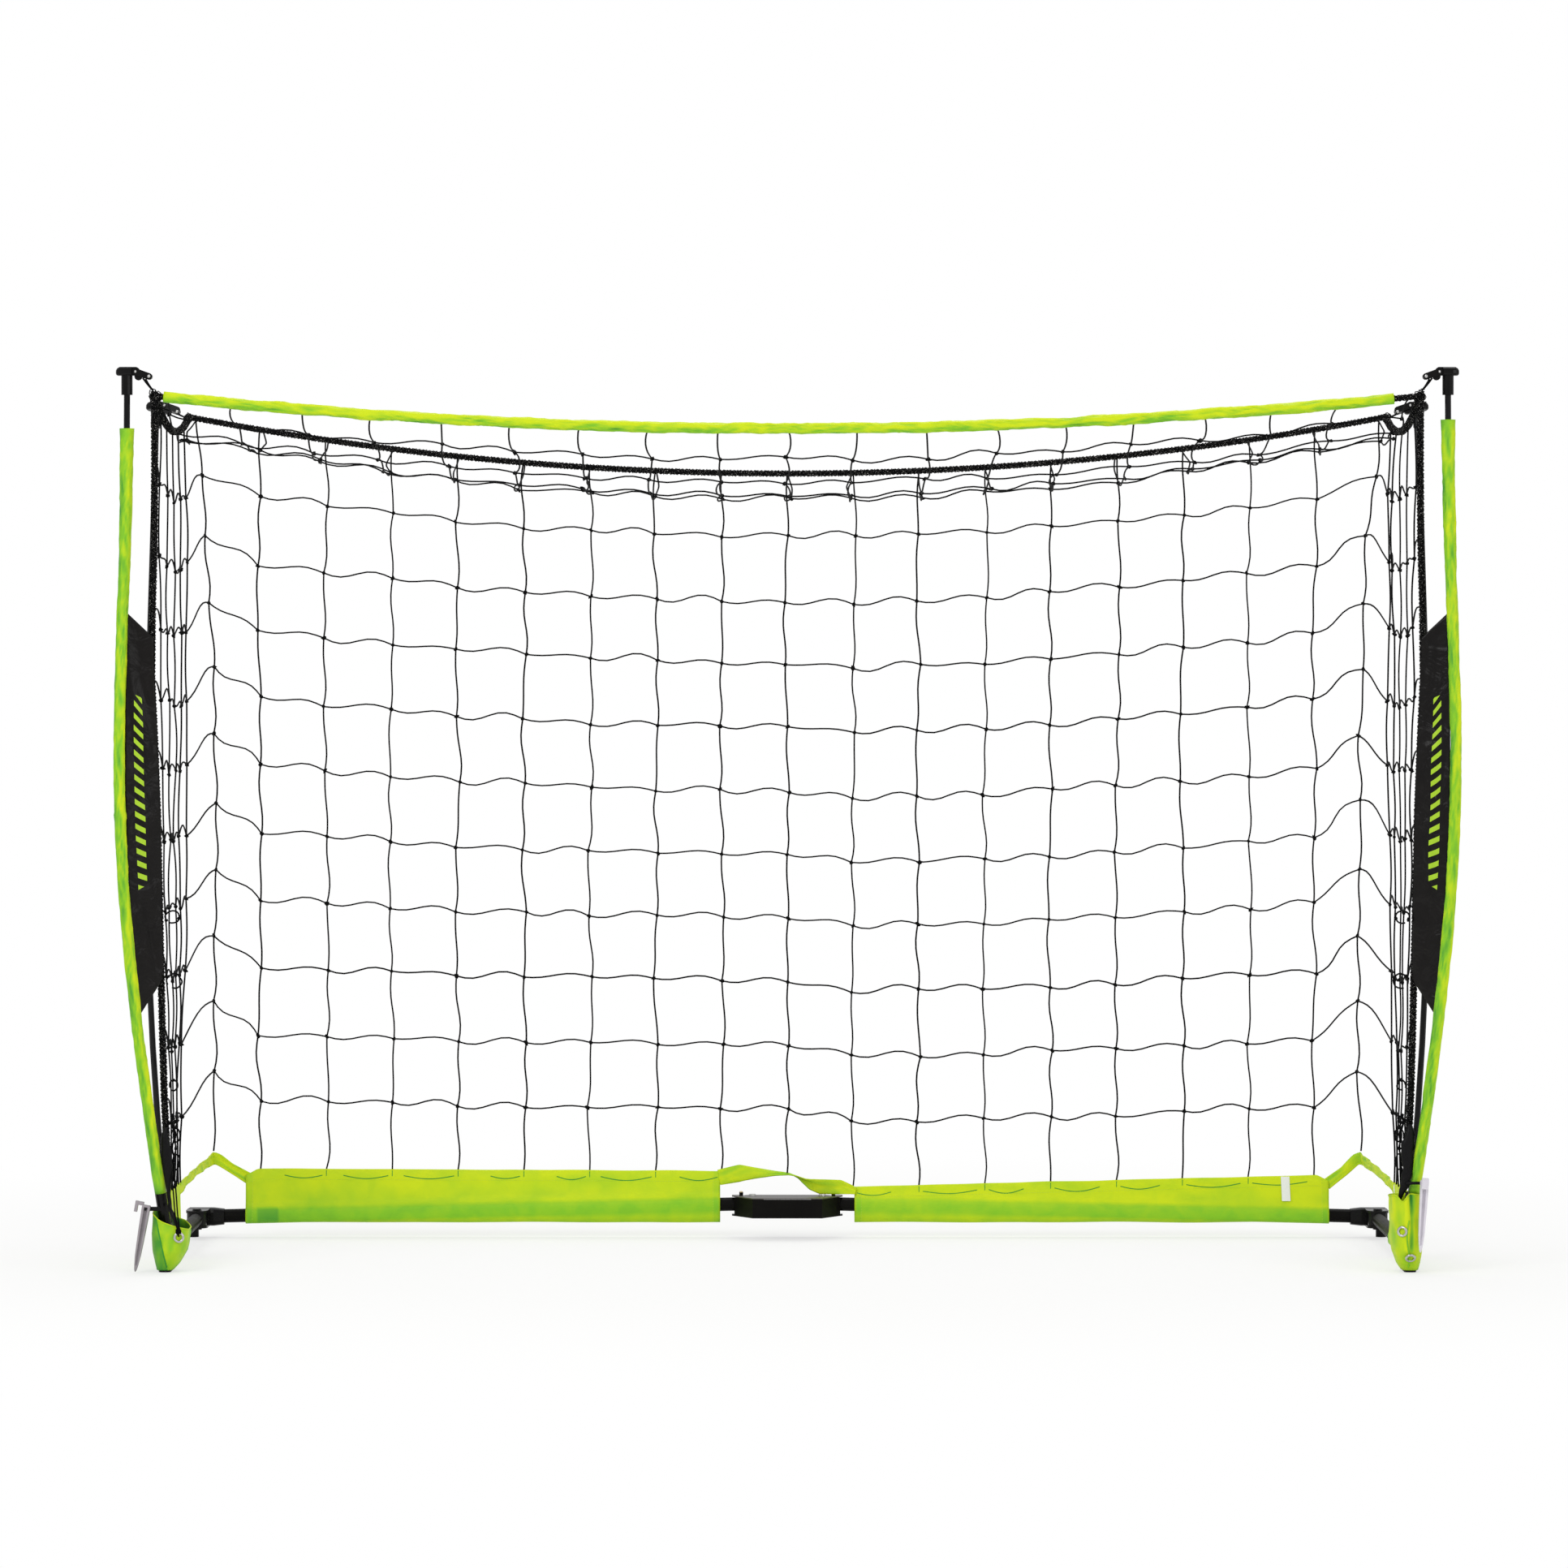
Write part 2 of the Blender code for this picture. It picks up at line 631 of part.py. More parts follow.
def rear_bar(name, side, body):
    """One steel half of the rear bar, with its stop pin."""
    start = bar_point(PIVOT_X - BAR_STUB)
    end = bar_point(ARM_X - BAR_SEAT)
    tube = aimed(pipe(TUBE_R - TUBE_WALL, TUBE_R, (end - start).length), start, end - start)
    item = solid(f"rear_bar_{name}", tube, BLACK_STEEL, body, side)
    hole = cylinder(RIVET_R + GAP, 0, 2 * BAR_MID_Z)
    boolean(item, moved(hole, (PIVOT_X, REAR_Y, 0)), "DIFFERENCE", side)
    pin = cylinder(STOP_PIN_R, BAR_MID_Z - TUBE_R - STOP_PIN_FOOT, PLATE_TOP + STOP_PIN_RISE, 12)
    boolean(item, moved(pin, (PIVOT_X + STOP_PIN_REACH, REAR_Y, 0)), "UNION", side)


def rear_corner(name, side, body):
    """Moulded elbow on the bar's end: collar, forked hinge and foot, with its pin."""
    inner = ARM_X - CORNER_INNER
    outer = ARM_X + CORNER_OUTER
    chamfer, narrower = CORNER_CHAMFER
    levels = ((inner, CORNER_MOUTH), (inner + CORNER_TAPER, 0), (outer - chamfer, 0), (outer, narrower))
    rings = []
    for x, shrink in levels:
        ring = rounded_ring((0, 0), CORNER_HALF_Z - shrink, CORNER_HALF_Y - shrink, 0, 0.5, 2)
        rings.append([(x, REAR_Y + b, ARM_Z + a) for a, b, _ in ring])
    item = solid(f"corner_elbow_{name}", lofted(rings), BLACK_PLASTIC, body, side)
    low, high = ARM_Z - CORNER_HALF_Z + STEP, ARM_Z + CORNER_HALF_Z - STEP
    neck = REAR_Y - FORK_NECK
    outline = [(ARM_X - FORK_R, neck), *arc((ARM_X, PIN_Y), FORK_R, 180, 360, 8), (ARM_X + FORK_R, neck)]
    boolean(item, prism(outline, low, high), "UNION", side)
    foot = cylinder(CORNER_FOOT_R, 0, ARM_Z - CORNER_HALF_Z + CORNER_FOOT_ROOT, 12)
    boolean(item, moved(foot, (ARM_X + CORNER_FOOT_OUT, REAR_Y, 0)), "UNION", side)
    slot_half = CORNER_HALF_Z - FORK_PLATE_T
    slot = box(
        (ARM_X - 2 * FORK_R, PIN_Y - 2 * FORK_R, ARM_Z - slot_half),
        (ARM_X + 2 * FORK_R, PIN_Y + KNUCKLE_R + FORK_SPARE, ARM_Z + slot_half),
    )
    boolean(item, slot, "DIFFERENCE", side)
    boolean(item, moved(cylinder(PIN_R + GAP, 0, 2 * ARM_Z), (ARM_X, PIN_Y, 0)), "DIFFERENCE", side)
    along = bar_point(ARM_X) - bar_point(PIVOT_X)
    bore_start = bar_point(inner - CUT_SPARE)
    length = (bar_point(ARM_X - BAR_SEAT + GAP) - bore_start).length
    boolean(item, aimed(cylinder(TUBE_R + GAP, 0, length), bore_start, along), "DIFFERENCE", side)
    pin_low, pin_high = low - GAP, high + GAP
    profile = [
        (PIN_HEAD_R, pin_low - PIN_HEAD_H),
        (PIN_HEAD_R, pin_low),
        (PIN_R, pin_low),
        (PIN_R, pin_high),
        (PIN_HEAD_R, pin_high),
        (PIN_HEAD_R * 0.8, pin_high + PIN_HEAD_H),
    ]
    pin = moved(turned(profile, 12), (ARM_X, PIN_Y, 0))
    solid(f"corner_pin_{name}", pin, BLACK_PLASTIC, body, side)


def side_arm(name, side, body):
    """Steel arm tube, and the moulded knuckle that turns on the corner pin."""
    front = FRONT_Y + HUB_MIDDLE + ARM_SEAT
    rear = PIN_Y - ARM_START
    radius = TUBE_R - GAP
    tube = aimed(pipe(radius - TUBE_WALL, radius, rear - front), (ARM_X, rear, ARM_Z), (0, -1, 0))
    solid(f"side_arm_{name}", tube, BLACK_STEEL, body, side)
    half = CORNER_HALF_Z - FORK_PLATE_T - GAP
    bore = PIN_R + GAP
    disc = turned([(bore, -half), (KNUCKLE_R, -half), (KNUCKLE_R, half), (bore, half)], ring=True)
    knuckle = solid(f"arm_knuckle_{name}", moved(disc, (ARM_X, PIN_Y, ARM_Z)), BLACK_PLASTIC, body, side)
    collar_from = PIN_R + KNUCKLE_NECK
    spigot_r = radius - TUBE_WALL - GAP
    profile = [
        (half - STEP, collar_from),
        (half - STEP, ARM_START - GAP),
        (spigot_r, ARM_START - GAP),
        (spigot_r, ARM_START + SPIGOT_LENGTH),
    ]
    boolean(knuckle, aimed(turned(profile), (ARM_X, PIN_Y, ARM_Z), (0, -1, 0)), "UNION", side)


def front_hub(name, side, body):
    """Moulded foot with a sole, a seat for the arm and two tilted rod sockets."""
    middle = (ARM_X, FRONT_Y + HUB_MIDDLE)
    levels = (
        (0, *SOLE_HALF),
        (SOLE_EDGE_Z, *SOLE_EDGE_HALF),
        (HUB_WAIST_Z, *HUB_HALF),
        (HUB_HEIGHT - HUB_SHOULDER, *HUB_HALF),
        (HUB_HEIGHT, HUB_HALF[0] - HUB_SHOULDER_IN, HUB_HALF[1] - HUB_SHOULDER_IN),
    )
    rings = [rounded_ring(middle, half_x, half_y, z, 0.7, 2) for z, half_x, half_y in levels]
    item = solid(f"foot_hub_{name}", lofted(rings), BLACK_PLASTIC, body, side)
    for path in (FRONT_ROD, REAR_ROD):
        socket = cylinder(SOCKET_R, -SOCKET_ROOT, SOCKET_DEPTH, 12)
        boolean(item, aimed(socket, path.foot, path.axis), "UNION", side)
    if name == "left":
        peg_hanger(item, name, side)
    for path in (FRONT_ROD, REAR_ROD):
        bore = aimed(cylinder(ROD_R + GAP, 0, 2 * SOCKET_DEPTH, 10), path.foot, path.axis)
        boolean(item, bore, "DIFFERENCE", side)
    seat = (ARM_X, FRONT_Y + HUB_MIDDLE + ARM_SEAT - GAP, ARM_Z)
    boolean(item, aimed(cylinder(TUBE_R, 0, 2 * HUB_HALF[1]), seat, (0, 1, 0)), "DIFFERENCE", side)


def boot_levels():
    """Height and outer half sizes of the boot, from the sole up."""
    snug = BOOT_WALL + GAP
    sole = [half + spare + snug for half, spare in zip(SOLE_HALF, BOOT_SOLE_SPARE)]
    return (
        (BOOT_SOLE_Z, *sole, ARM_X),
        (HUB_WAIST_Z, *BOOT_WAIST, BOOT_X + BOOT_WAIST_OUT),
        (BOOT_BELLY_Z, *BOOT_BELLY, BOOT_X),
        (BOOT_TOP, *BOOT_RIM, BOOT_X),
    )


def boot(name, side, body):
    """Cloth pocket pulled over the foot, open at the top, with its two grommets."""
    middle_y = FRONT_Y + HUB_MIDDLE
    outer = [rounded_ring((x, middle_y), hx, hy, z, BOOT_CORNER) for z, hx, hy, x in boot_levels()]
    item = solid(f"boot_{name}", lofted(outer), LIME_CLOTH, body, side)
    inner = []
    for z, half_x, half_y, x in boot_levels():
        halves = (half_x - BOOT_WALL, half_y - BOOT_WALL)
        inner.append(rounded_ring((x, middle_y), *halves, z, BOOT_CORNER))
    below = [(x, y, z - BOOT_WALL) for x, y, z in inner[0]]
    above = [(x, y, z + BOOT_WALL) for x, y, z in inner[-1]]
    boolean(item, lofted([below, *inner, above]), "DIFFERENCE", side)
    gate_start = (ARM_X, middle_y + ARM_SEAT, ARM_Z)
    gate = aimed(cylinder(TUBE_R + GAP, 0, BOOT_BELLY[1]), gate_start, (0, 1, 0))
    boolean(item, gate, "DIFFERENCE", side)
    for label, (offset, z) in (("cord_grommet", CORD_GROMMET), ("peg_grommet", PEG_GROMMET)):
        profile = [
            (GROMMET_HOLE_R, 0),
            (GROMMET_R, 0),
            (GROMMET_R, GROMMET_H / 2),
            (GROMMET_R - GROMMET_ROUND, GROMMET_H),
            (GROMMET_HOLE_R, GROMMET_H),
        ]
        seat, outward = boot_front(BOOT_X + offset, z)
        eye = cylinder(GROMMET_HOLE_R + GROMMET_SEAT, -2 * BOOT_WALL, BOOT_WALL, 10)
        boolean(item, aimed(eye, seat, outward), "DIFFERENCE", side)
        ring = aimed(turned(profile, 10, ring=True), seat + outward * GAP, outward)
        solid(f"{label}_{name}", ring, RIVET_STEEL, body, side)


def boot_front(x, z):
    """A point on the boot's front wall and the way that it faces."""
    middle_y = FRONT_Y + HUB_MIDDLE
    levels = boot_levels()
    for (z0, hx0, hy0, mx0), (z1, hx1, hy1, mx1) in zip(levels, levels[1:]):
        if z <= z1:
            share = (z - z0) / (z1 - z0)
            half_x = hx0 + (hx1 - hx0) * share
            half_y = hy0 + (hy1 - hy0) * share
            middle_x = mx0 + (mx1 - mx0) * share
            lean = math.atan2(hy1 - hy0, z1 - z0)
            break
    radius = BOOT_CORNER * min(half_x, half_y)
    reach = max(-radius, min(radius, abs(x - middle_x) - (half_x - radius)))
    reach = max(0.0, reach)
    turn = math.asin(min(1.0, reach / radius)) * (1 if x > middle_x else -1)
    depth = (half_y - radius) + radius * math.cos(turn)
    outward = Vector((math.sin(turn), -math.cos(turn), 0)) * math.cos(lean)
    outward.z = -math.sin(lean)
    return Vector((x, middle_y - depth, z)), outward.normalized()


def tee_cap(name, path, side, body):
    """Moulded cap on a rod's top, and the riveted link that holds the net's tie cord."""
    up = path.top_axis
    inward = Vector((-1, 0, 0))
    across = up.cross(inward)
    frame = Matrix((inward, across, up)).transposed().to_4x4()
    frame = Matrix.Translation(path.top) @ frame

    def placed(shape):
        bmesh.ops.transform(shape, matrix=frame, verts=shape.verts)
        return shape

    middle = ((CAP_INNER - CAP_OUTER) / 2, 0)
    half = (CAP_INNER + CAP_OUTER) / 2
    rings = []
    for share, inset in CAP_LEVELS:
        level = share * CAP_HEIGHT
        rings.append(rounded_ring(middle, half - inset, CAP_HALF_WIDTH - inset, level, 0.98, 3))
    cap = solid(f"{name}_tee_cap", placed(lofted(rings)), BLACK_PLASTIC, body, side)
    cheek_from = LINK_FROM[0] - LINK_R - GAP
    for way in (-1, 1):
        low_y, high_y = sorted((way * EAR_HALF_T, way * 2 * CAP_HALF_WIDTH))
        cheek = box((cheek_from, low_y, -CAP_HEIGHT), (2 * CAP_INNER, high_y, 2 * CAP_HEIGHT))
        boolean(cap, placed(cheek), "DIFFERENCE", side)
    upright = Matrix.Rotation(math.radians(90), 4, "X")
    ear = prism(arc(EAR, EAR_R, 0, 330, 11), -EAR_HALF_T + STEP, EAR_HALF_T - STEP)
    bmesh.ops.transform(ear, matrix=upright, verts=ear.verts)
    boolean(cap, placed(ear), "UNION", side)
    ferrule = cylinder(FERRULE_R, -FERRULE_LENGTH, CAP_ROOT, 14)
    boolean(cap, placed(ferrule), "UNION", side)
    bore = cylinder(ROD_R + GAP, -2 * FERRULE_LENGTH, 0, 10)
    boolean(cap, placed(bore), "DIFFERENCE", side)
    eye = cylinder(LINK_RIVET_R + GAP, -LINK_HALF_T, LINK_HALF_T, 10)
    at_eye = Matrix.Translation((LINK_FROM[0], 0, LINK_FROM[1]))
    bmesh.ops.transform(eye, matrix=at_eye @ upright, verts=eye.verts)
    boolean(cap, placed(eye), "DIFFERENCE", side)

    start, end = Vector(LINK_FROM), Vector(LINK_TO)
    angle = math.degrees(math.atan2(end.y - start.y, end.x - start.x))
    outline = arc(start, LINK_R, angle + 90, angle + 270, 5) + arc(end, LINK_R, angle - 90, angle + 90, 5)
    bar = prism(outline, -LINK_HALF_T, LINK_HALF_T)
    bmesh.ops.transform(bar, matrix=upright, verts=bar.verts)
    link = solid(f"{name}_link", placed(bar), BLACK_PLASTIC, body, side)
    slot_half = EAR_HALF_T + GAP
    slot = box((0, -slot_half, -2 * CAP_HEIGHT), (LINK_BRIDGE, slot_half, 2 * CAP_HEIGHT))
    boolean(link, placed(slot), "DIFFERENCE", side)
    reach = LINK_HALF_T + LINK_RIVET_RISE
    for x, z in (LINK_FROM, LINK_TO):
        rivet = cylinder(LINK_RIVET_R, -reach, reach, 8)
        bmesh.ops.transform(rivet, matrix=Matrix.Translation((x, 0, z)) @ upright, verts=rivet.verts)
        boolean(link, placed(rivet), "UNION", side)
    return frame @ Vector((LINK_TO[0], 0, LINK_TO[1]))


def front_sleeve(name, side, body):
    """Cloth sleeve round the front rod, wider at its open top hem."""
    path = FRONT_ROD
    steps = 13
    low = path.foot + path.axis * (SOCKET_DEPTH + GAP)
    heights = [low.z + (SLEEVE_TOP_Z - low.z) * i / steps for i in range(steps + 1)]
    centres = [low] + [path.at_height(z) for z in heights[1:]]
    radii = [SLEEVE_R] * steps + [SLEEVE_R + SLEEVE_FLARE]
    solid(f"front_sleeve_{name}", sleeve_shape(centres, radii), LIME_CLOTH, body, side)


def sleeve_shape(centres, radii, sides=8):
    """A tube with a rod's bore, open at both ends."""
    outer, inner = [], []
    for i, middle in enumerate(centres):
        after = centres[min(i + 1, len(centres) - 1)]
        before = centres[max(i - 1, 0)]
        turn = (after - before).to_track_quat("Z", "Y").to_matrix()
        angles = [2 * math.pi * k / sides for k in range(sides)]
        ring = [Vector((math.cos(a), math.sin(a), 0)) for a in angles]
        outer.append([middle + turn @ (spoke * radii[i]) for spoke in ring])
        inner.append([middle + turn @ (spoke * (ROD_R + 3 * GAP)) for spoke in ring])
    return lofted(outer + inner[::-1], closed=True)


def net_grid(knots, halves):
    """A knotted net as one body, with a strand of diamond section from each knot to its neighbours.

    knots[column][row] are points. halves[column][row] are a knot's half sizes along the columns'
    direction, across the net and along the rows' direction.
    """
    shape = bmesh.new()
    columns, rows = len(knots), len(knots[0])
    corners, tips = {}, {}
    for c in range(columns):
        for r in range(rows):
            along = knots[min(c + 1, columns - 1)][r] - knots[max(c - 1, 0)][r]
            rise = knots[c][min(r + 1, rows - 1)] - knots[c][max(r - 1, 0)]
            across = along.cross(rise).normalized()
            along = rise.cross(across).normalized()
            rise = across.cross(along)
            half_c, half_t, half_r = halves[c][r]
            for i in (-1, 1):
                tips[c, r, i] = shape.verts.new(knots[c][r] + across * half_t * i)
                for k in (-1, 1):
                    offset = along * half_c * i + rise * half_r * k
                    corners[c, r, i, k] = shape.verts.new(knots[c][r] + offset)

    def strand(near, far, pair, other):
        for tip in (-1, 1):
            for near_corner, far_corner in zip(pair, other):
                a, b = corners[(*near, *near_corner)], corners[(*far, *far_corner)]
                shape.faces.new((tips[(*near, tip)], a, b, tips[(*far, tip)]))

    def end(knot, pair):
        for tip in (-1, 1):
            a, b = (corners[(*knot, *corner)] for corner in pair)
            shape.faces.new((tips[(*knot, tip)], a, b))

    right, left = ((1, -1), (1, 1)), ((-1, -1), (-1, 1))
    upper, lower = ((-1, 1), (1, 1)), ((-1, -1), (1, -1))
    for c in range(columns):
        for r in range(rows):
            if c + 1 < columns:
                strand((c, r), (c + 1, r), right, left)
            else:
                end((c, r), right)
            if r + 1 < rows:
                strand((c, r), (c, r + 1), upper, lower)
            else:
                end((c, r), upper)
            if c == 0:
                end((c, r), left)
            if r == 0:
                end((c, r), lower)
    return shape


def back_knot(name, column, row):
    """A knot of the back panel. column counts from the middle, row from the skirt."""
    share = row / NET_ROWS
    if column < NET_COLUMNS // 2:
        x = column * MESH
        foot = skirt_top(name, max(x, SKIRT_INNER_X)) + GAP + TWINE_R
        return Vector((x, REAR_Y, foot + (rear_rope_z(x) - foot) * share))
    x = end_column_x(share)
    rise = END_KNOT_RISE * min(1.0, 8 * share, 6 * (1 - share))
    if row == NET_ROWS:
        x = CORNER_X - ROPE_R - GAP - TWINE_R
    return Vector((x, REAR_Y, END_FOOT_Z + (rear_rope_z(x) - END_FOOT_Z) * share + rise))


def twine_halves(columns, rows, rope_columns=(), rope_rows=()):
    halves = []
    for c in range(columns):
        half_c = ROPE_R if c in rope_columns else TWINE_R
        line = []
        for r in range(rows):
            half_r = ROPE_R if r in rope_rows else TWINE_R
            line.append((half_c, max(half_c, half_r), half_r))
        halves.append(line)
    return halves


def back_panels(bodies):
    """The back net: a panel on each bar half and a narrow one on the bracket."""
    half = NET_COLUMNS // 2
    for side, name in ((-1, "left"), (1, "right")):
        knots = [[back_knot(name, c, r) for r in range(NET_ROWS + 1)] for c in range(1, half + 1)]
        for knot in knots[0]:
            knot.x += TWINE_R + GAP
        shape = net_grid(knots, twine_halves(half, NET_ROWS + 1, (), (NET_ROWS,)))
        solid(f"back_net_{name}", shape, TWINE, bodies[f"rear_bar_{name}"], side)
    knots = []
    for x in (TWINE_R - MESH, 0, MESH - TWINE_R):
        foot, top = middle_foot_z(x), rear_rope_z(x)
        line = [foot + (top - foot) * r / NET_ROWS for r in range(NET_ROWS + 1)]
        knots.append([Vector((x, REAR_Y, z)) for z in line])
    shape = net_grid(knots, twine_halves(3, NET_ROWS + 1, (), (NET_ROWS,)))
    solid("back_net_centre", shape, TWINE, bodies["centre_bracket"])


def side_panel(name, side, body):
    """Side net with its braided border ropes at the front and the top."""
    knots = []
    for c in range(SIDE_COLUMNS + 1):
        share = c / SIDE_COLUMNS
        y = FRONT_Y + (SIDE_REAR_Y - FRONT_Y) * share
        top = sag(FRONT_CORNER_Z, REAR_CORNER_Z, SIDE_ROPE_DROP, share)
        foot = hem_top(y) + GAP + TWINE_R
        if c == 0:
            foot = ROPE_FOOT[1]
        if c == SIDE_COLUMNS:
            foot = END_FOOT_Z
        line = []
        for r in range(NET_ROWS + 1):
            up = r / NET_ROWS
            z = foot + (top - foot) * up
            rear_x = end_column_x(up) + 2 * TWINE_R + GAP
            if r == NET_ROWS:
                rear_x = CORNER_X
            x = edge_rope_x(z) + (rear_x - edge_rope_x(z)) * share
            if r == 0 and hem_share(y) > 0:
                x = hem_x(y)
            if c == 0 and r == 0:
                x = ROPE_FOOT[0]
            line.append(Vector((x, y, z)))
        knots.append(line)
    halves = twine_halves(SIDE_COLUMNS + 1, NET_ROWS + 1, (0,), (NET_ROWS,))
    solid(f"side_net_{name}", net_grid(knots, halves), TWINE, body, side)


def roof_panel(body):
    """Roof net between the crossbar and the rear border rope."""
    front = FRONT_Y + CROSSBAR_R + GAP + TWINE_R
    rear = REAR_Y - ROPE_R - GAP - TWINE_R
    end_x = CORNER_X - ROPE_R - GAP - TWINE_R - ROOF_END_GAP
    half = NET_COLUMNS // 2
    knots = []
    for c in range(-half, half + 1):
        x = end_x * c / half
        line = []
        for r in range(ROOF_ROWS + 1):
            share = r / ROOF_ROWS
            y = front + (rear - front) * share
            drop = ROOF_DROP - (ROOF_DROP - SIDE_ROPE_DROP) * (x / end_x) ** 2
            line.append(Vector((x, y, sag(crossbar_z(x), rear_rope_z(x), drop, share))))
        knots.append(line)
    solid("roof_net", net_grid(knots, twine_halves(NET_COLUMNS + 1, ROOF_ROWS + 1)), TWINE, body)


def crossbar(body):
    """Rope crossbar in its gathered cloth sleeve, with bare rope at both ends."""
    end = CORNER_X - ROPE_R - GAP
    steps = 14
    xs = [end, CROSSBAR_HALF + STEP]
    xs += [CROSSBAR_HALF * (1 - 2 * i / steps) for i in range(steps + 1)]
    xs += [-CROSSBAR_HALF - STEP, -end]
    rings = []
    for x in xs:
        radius = CROSSBAR_R if abs(x) <= CROSSBAR_HALF else ROPE_R - STEP
        ring = [(math.cos(a), math.sin(a)) for a in (2 * math.pi * k / 8 for k in range(8))]
        rings.append([(x, FRONT_Y + radius * b, crossbar_z(x) + radius * a) for a, b in ring])
    solid("crossbar", lofted(rings), LIME_CLOTH, body)


def loop_section(tube_z, foot, top, inset=0.0):
    """Section of a cloth loop hanging on a tube, as (across, height) points.

    With an inset, it is the section of the space inside the loop.
    """
    side = SKIRT_HALF_T
    low = min(foot, tube_z - side) + inset
    outline = (
        (SKIRT_FOLD_HALF, low),
        (side - SKIRT_CHEEK[0], tube_z - SKIRT_CHEEK[1]),
        (side, tube_z - SKIRT_BELLY),
        (side, tube_z + SKIRT_BELLY),
        (0.62 * side, tube_z + TUBE_R),
        (SKIRT_NIP[0], tube_z + SKIRT_NIP[1]),
        (SKIRT_EDGE_T, top - 3 * inset),
    )
    right = [(max(half - inset, SKIRT_CAVITY_MIN), z) for half, z in outline]
    return right + [(-half, z) for half, z in right[::-1]]


def bar_skirt(name, side, body):
    """Cloth loop round one bar half, hanging below it near the bracket."""
    shells = []
    for inset, spare in ((0, 0), (SKIRT_T, CUT_SPARE)):
        rings = []
        steps = 6
        for i in range(steps + 1):
            x = SKIRT_INNER_X + (SKIRT_OUTER_X - SKIRT_INNER_X) * i / steps
            section = loop_section(bar_z(x), SKIRT_FOOT, skirt_top(name, x), inset)
            x += spare * (2 * i / steps - 1)
            rings.append([(x, REAR_Y + across, z) for across, z in section])
        shells.append(lofted(rings))
    item = solid(f"skirt_{name}", shells[0], LIME_CLOTH, body, side)
    boolean(item, shells[1], "DIFFERENCE", side)


def arm_skirt(name, side, body):
    """Cloth loop round the side arm, from the boot to the corner."""
    front = FRONT_Y + HUB_MIDDLE + BOOT_BELLY[1] + GAP
    rear = REAR_Y - ARM_SKIRT_REAR
    shells = []
    for inset, spare in ((0, 0), (SKIRT_T, CUT_SPARE)):
        section = loop_section(ARM_Z, ARM_Z - SKIRT_HALF_T, ARM_SKIRT_TOP, inset)
        ends = (front - spare, (front + rear) / 2, rear + spare)
        rings = [[(ARM_X + across, y, z) for across, z in section] for y in ends]
        shells.append(lofted(rings))
    item = solid(f"arm_skirt_{name}", shells[0], LIME_CLOTH, body, side)
    boolean(item, shells[1], "DIFFERENCE", side)


def ribbon(points, halves, thick, first, last):
    """An upright flat band along points, cut square to the first and last directions."""
    rings = []
    for i, point in enumerate(points):
        if i == 0:
            along = Vector(first)
        elif i == len(points) - 1:
            along = Vector(last)
        else:
            along = (points[i + 1] - points[i - 1]).normalized()
        across = Vector((0, 0, 1)).cross(along).normalized()
        up = along.cross(across)
        corners = ((-1, -1), (1, -1), (1, 1), (-1, 1))
        rings.append([point + across * thick * a + up * halves[i] * b for a, b in corners])
    return lofted(rings)


def corner_band(name, side, body):
    """Narrow hem from the bar's loop up to the net's outer column and down to the arm's loop."""
    top = skirt_top(name, SKIRT_OUTER_X)
    start = Vector((SKIRT_OUTER_X + GAP, REAR_Y, top - CORNER_BAND_FOOT))
    peak = Vector((END_FOOT_X, REAR_Y, END_FOOT_Z - TWINE_R - GAP - CORNER_BAND_PEAK))
    turn_y = REAR_Y - CORNER_BAND_TURN
    turn = Vector((hem_x(turn_y), turn_y, hem_top(turn_y) - CORNER_BAND_END))
    end_y = REAR_Y - ARM_SKIRT_REAR + GAP
    end = Vector((hem_x(end_y), end_y, ARM_SKIRT_TOP - CORNER_BAND_END))
    points = [start, (start + peak) / 2, peak, turn, end]
    shape = ribbon(points, CORNER_BAND_HALVES, BAND_HALF_T, (1, 0, 0), (0, -1, 0))
    solid(f"corner_band_{name}", shape, LIME_CLOTH, body, side)


def centre_band(body):
    """Twisted hem that bridges the bracket between the two bar loops, under the net's middle."""
    end = SKIRT_INNER_X - GAP
    widths = [(-end, CENTRE_BAND_ENDS[0]), *CENTRE_BAND, (end, CENTRE_BAND_ENDS[1])]
    points = []
    for x, half in widths:
        points.append(Vector((x, REAR_Y, middle_foot_z(x) - TWINE_R - 2 * GAP - half)))
    shape = ribbon(points, [half for _, half in widths], BAND_HALF_T, (1, 0, 0), (1, 0, 0))
    solid("centre_band", shape, LIME_CLOTH, body)


def banner(name, side, body):
    """Satin panel between the front sleeve and the front border rope."""
    steps = 6
    rings = []
    for i in range(steps + 1):
        share = i / steps
        z_out = BANNER_OUTER[0] + (BANNER_OUTER[1] - BANNER_OUTER[0]) * share
        z_in = BANNER_INNER[0] + (BANNER_INNER[1] - BANNER_INNER[0]) * share
        pole = FRONT_ROD.at_height(z_out)
        rope = Vector((edge_rope_x(z_in), FRONT_Y, z_in))
        towards = Vector((rope.x - pole.x, rope.y - pole.y, 0)).normalized()
        outer = pole + towards * (SLEEVE_R + 3 * GAP)
        inner = rope - towards * (ROPE_R + GAP)
        face = Vector((-towards.y, towards.x, 0)) * BANNER_HALF_T
        rings.append([outer - face, inner - face, inner + face, outer + face])
    solid(f"banner_{name}", lofted(rings), BLACK_CLOTH, body, side)


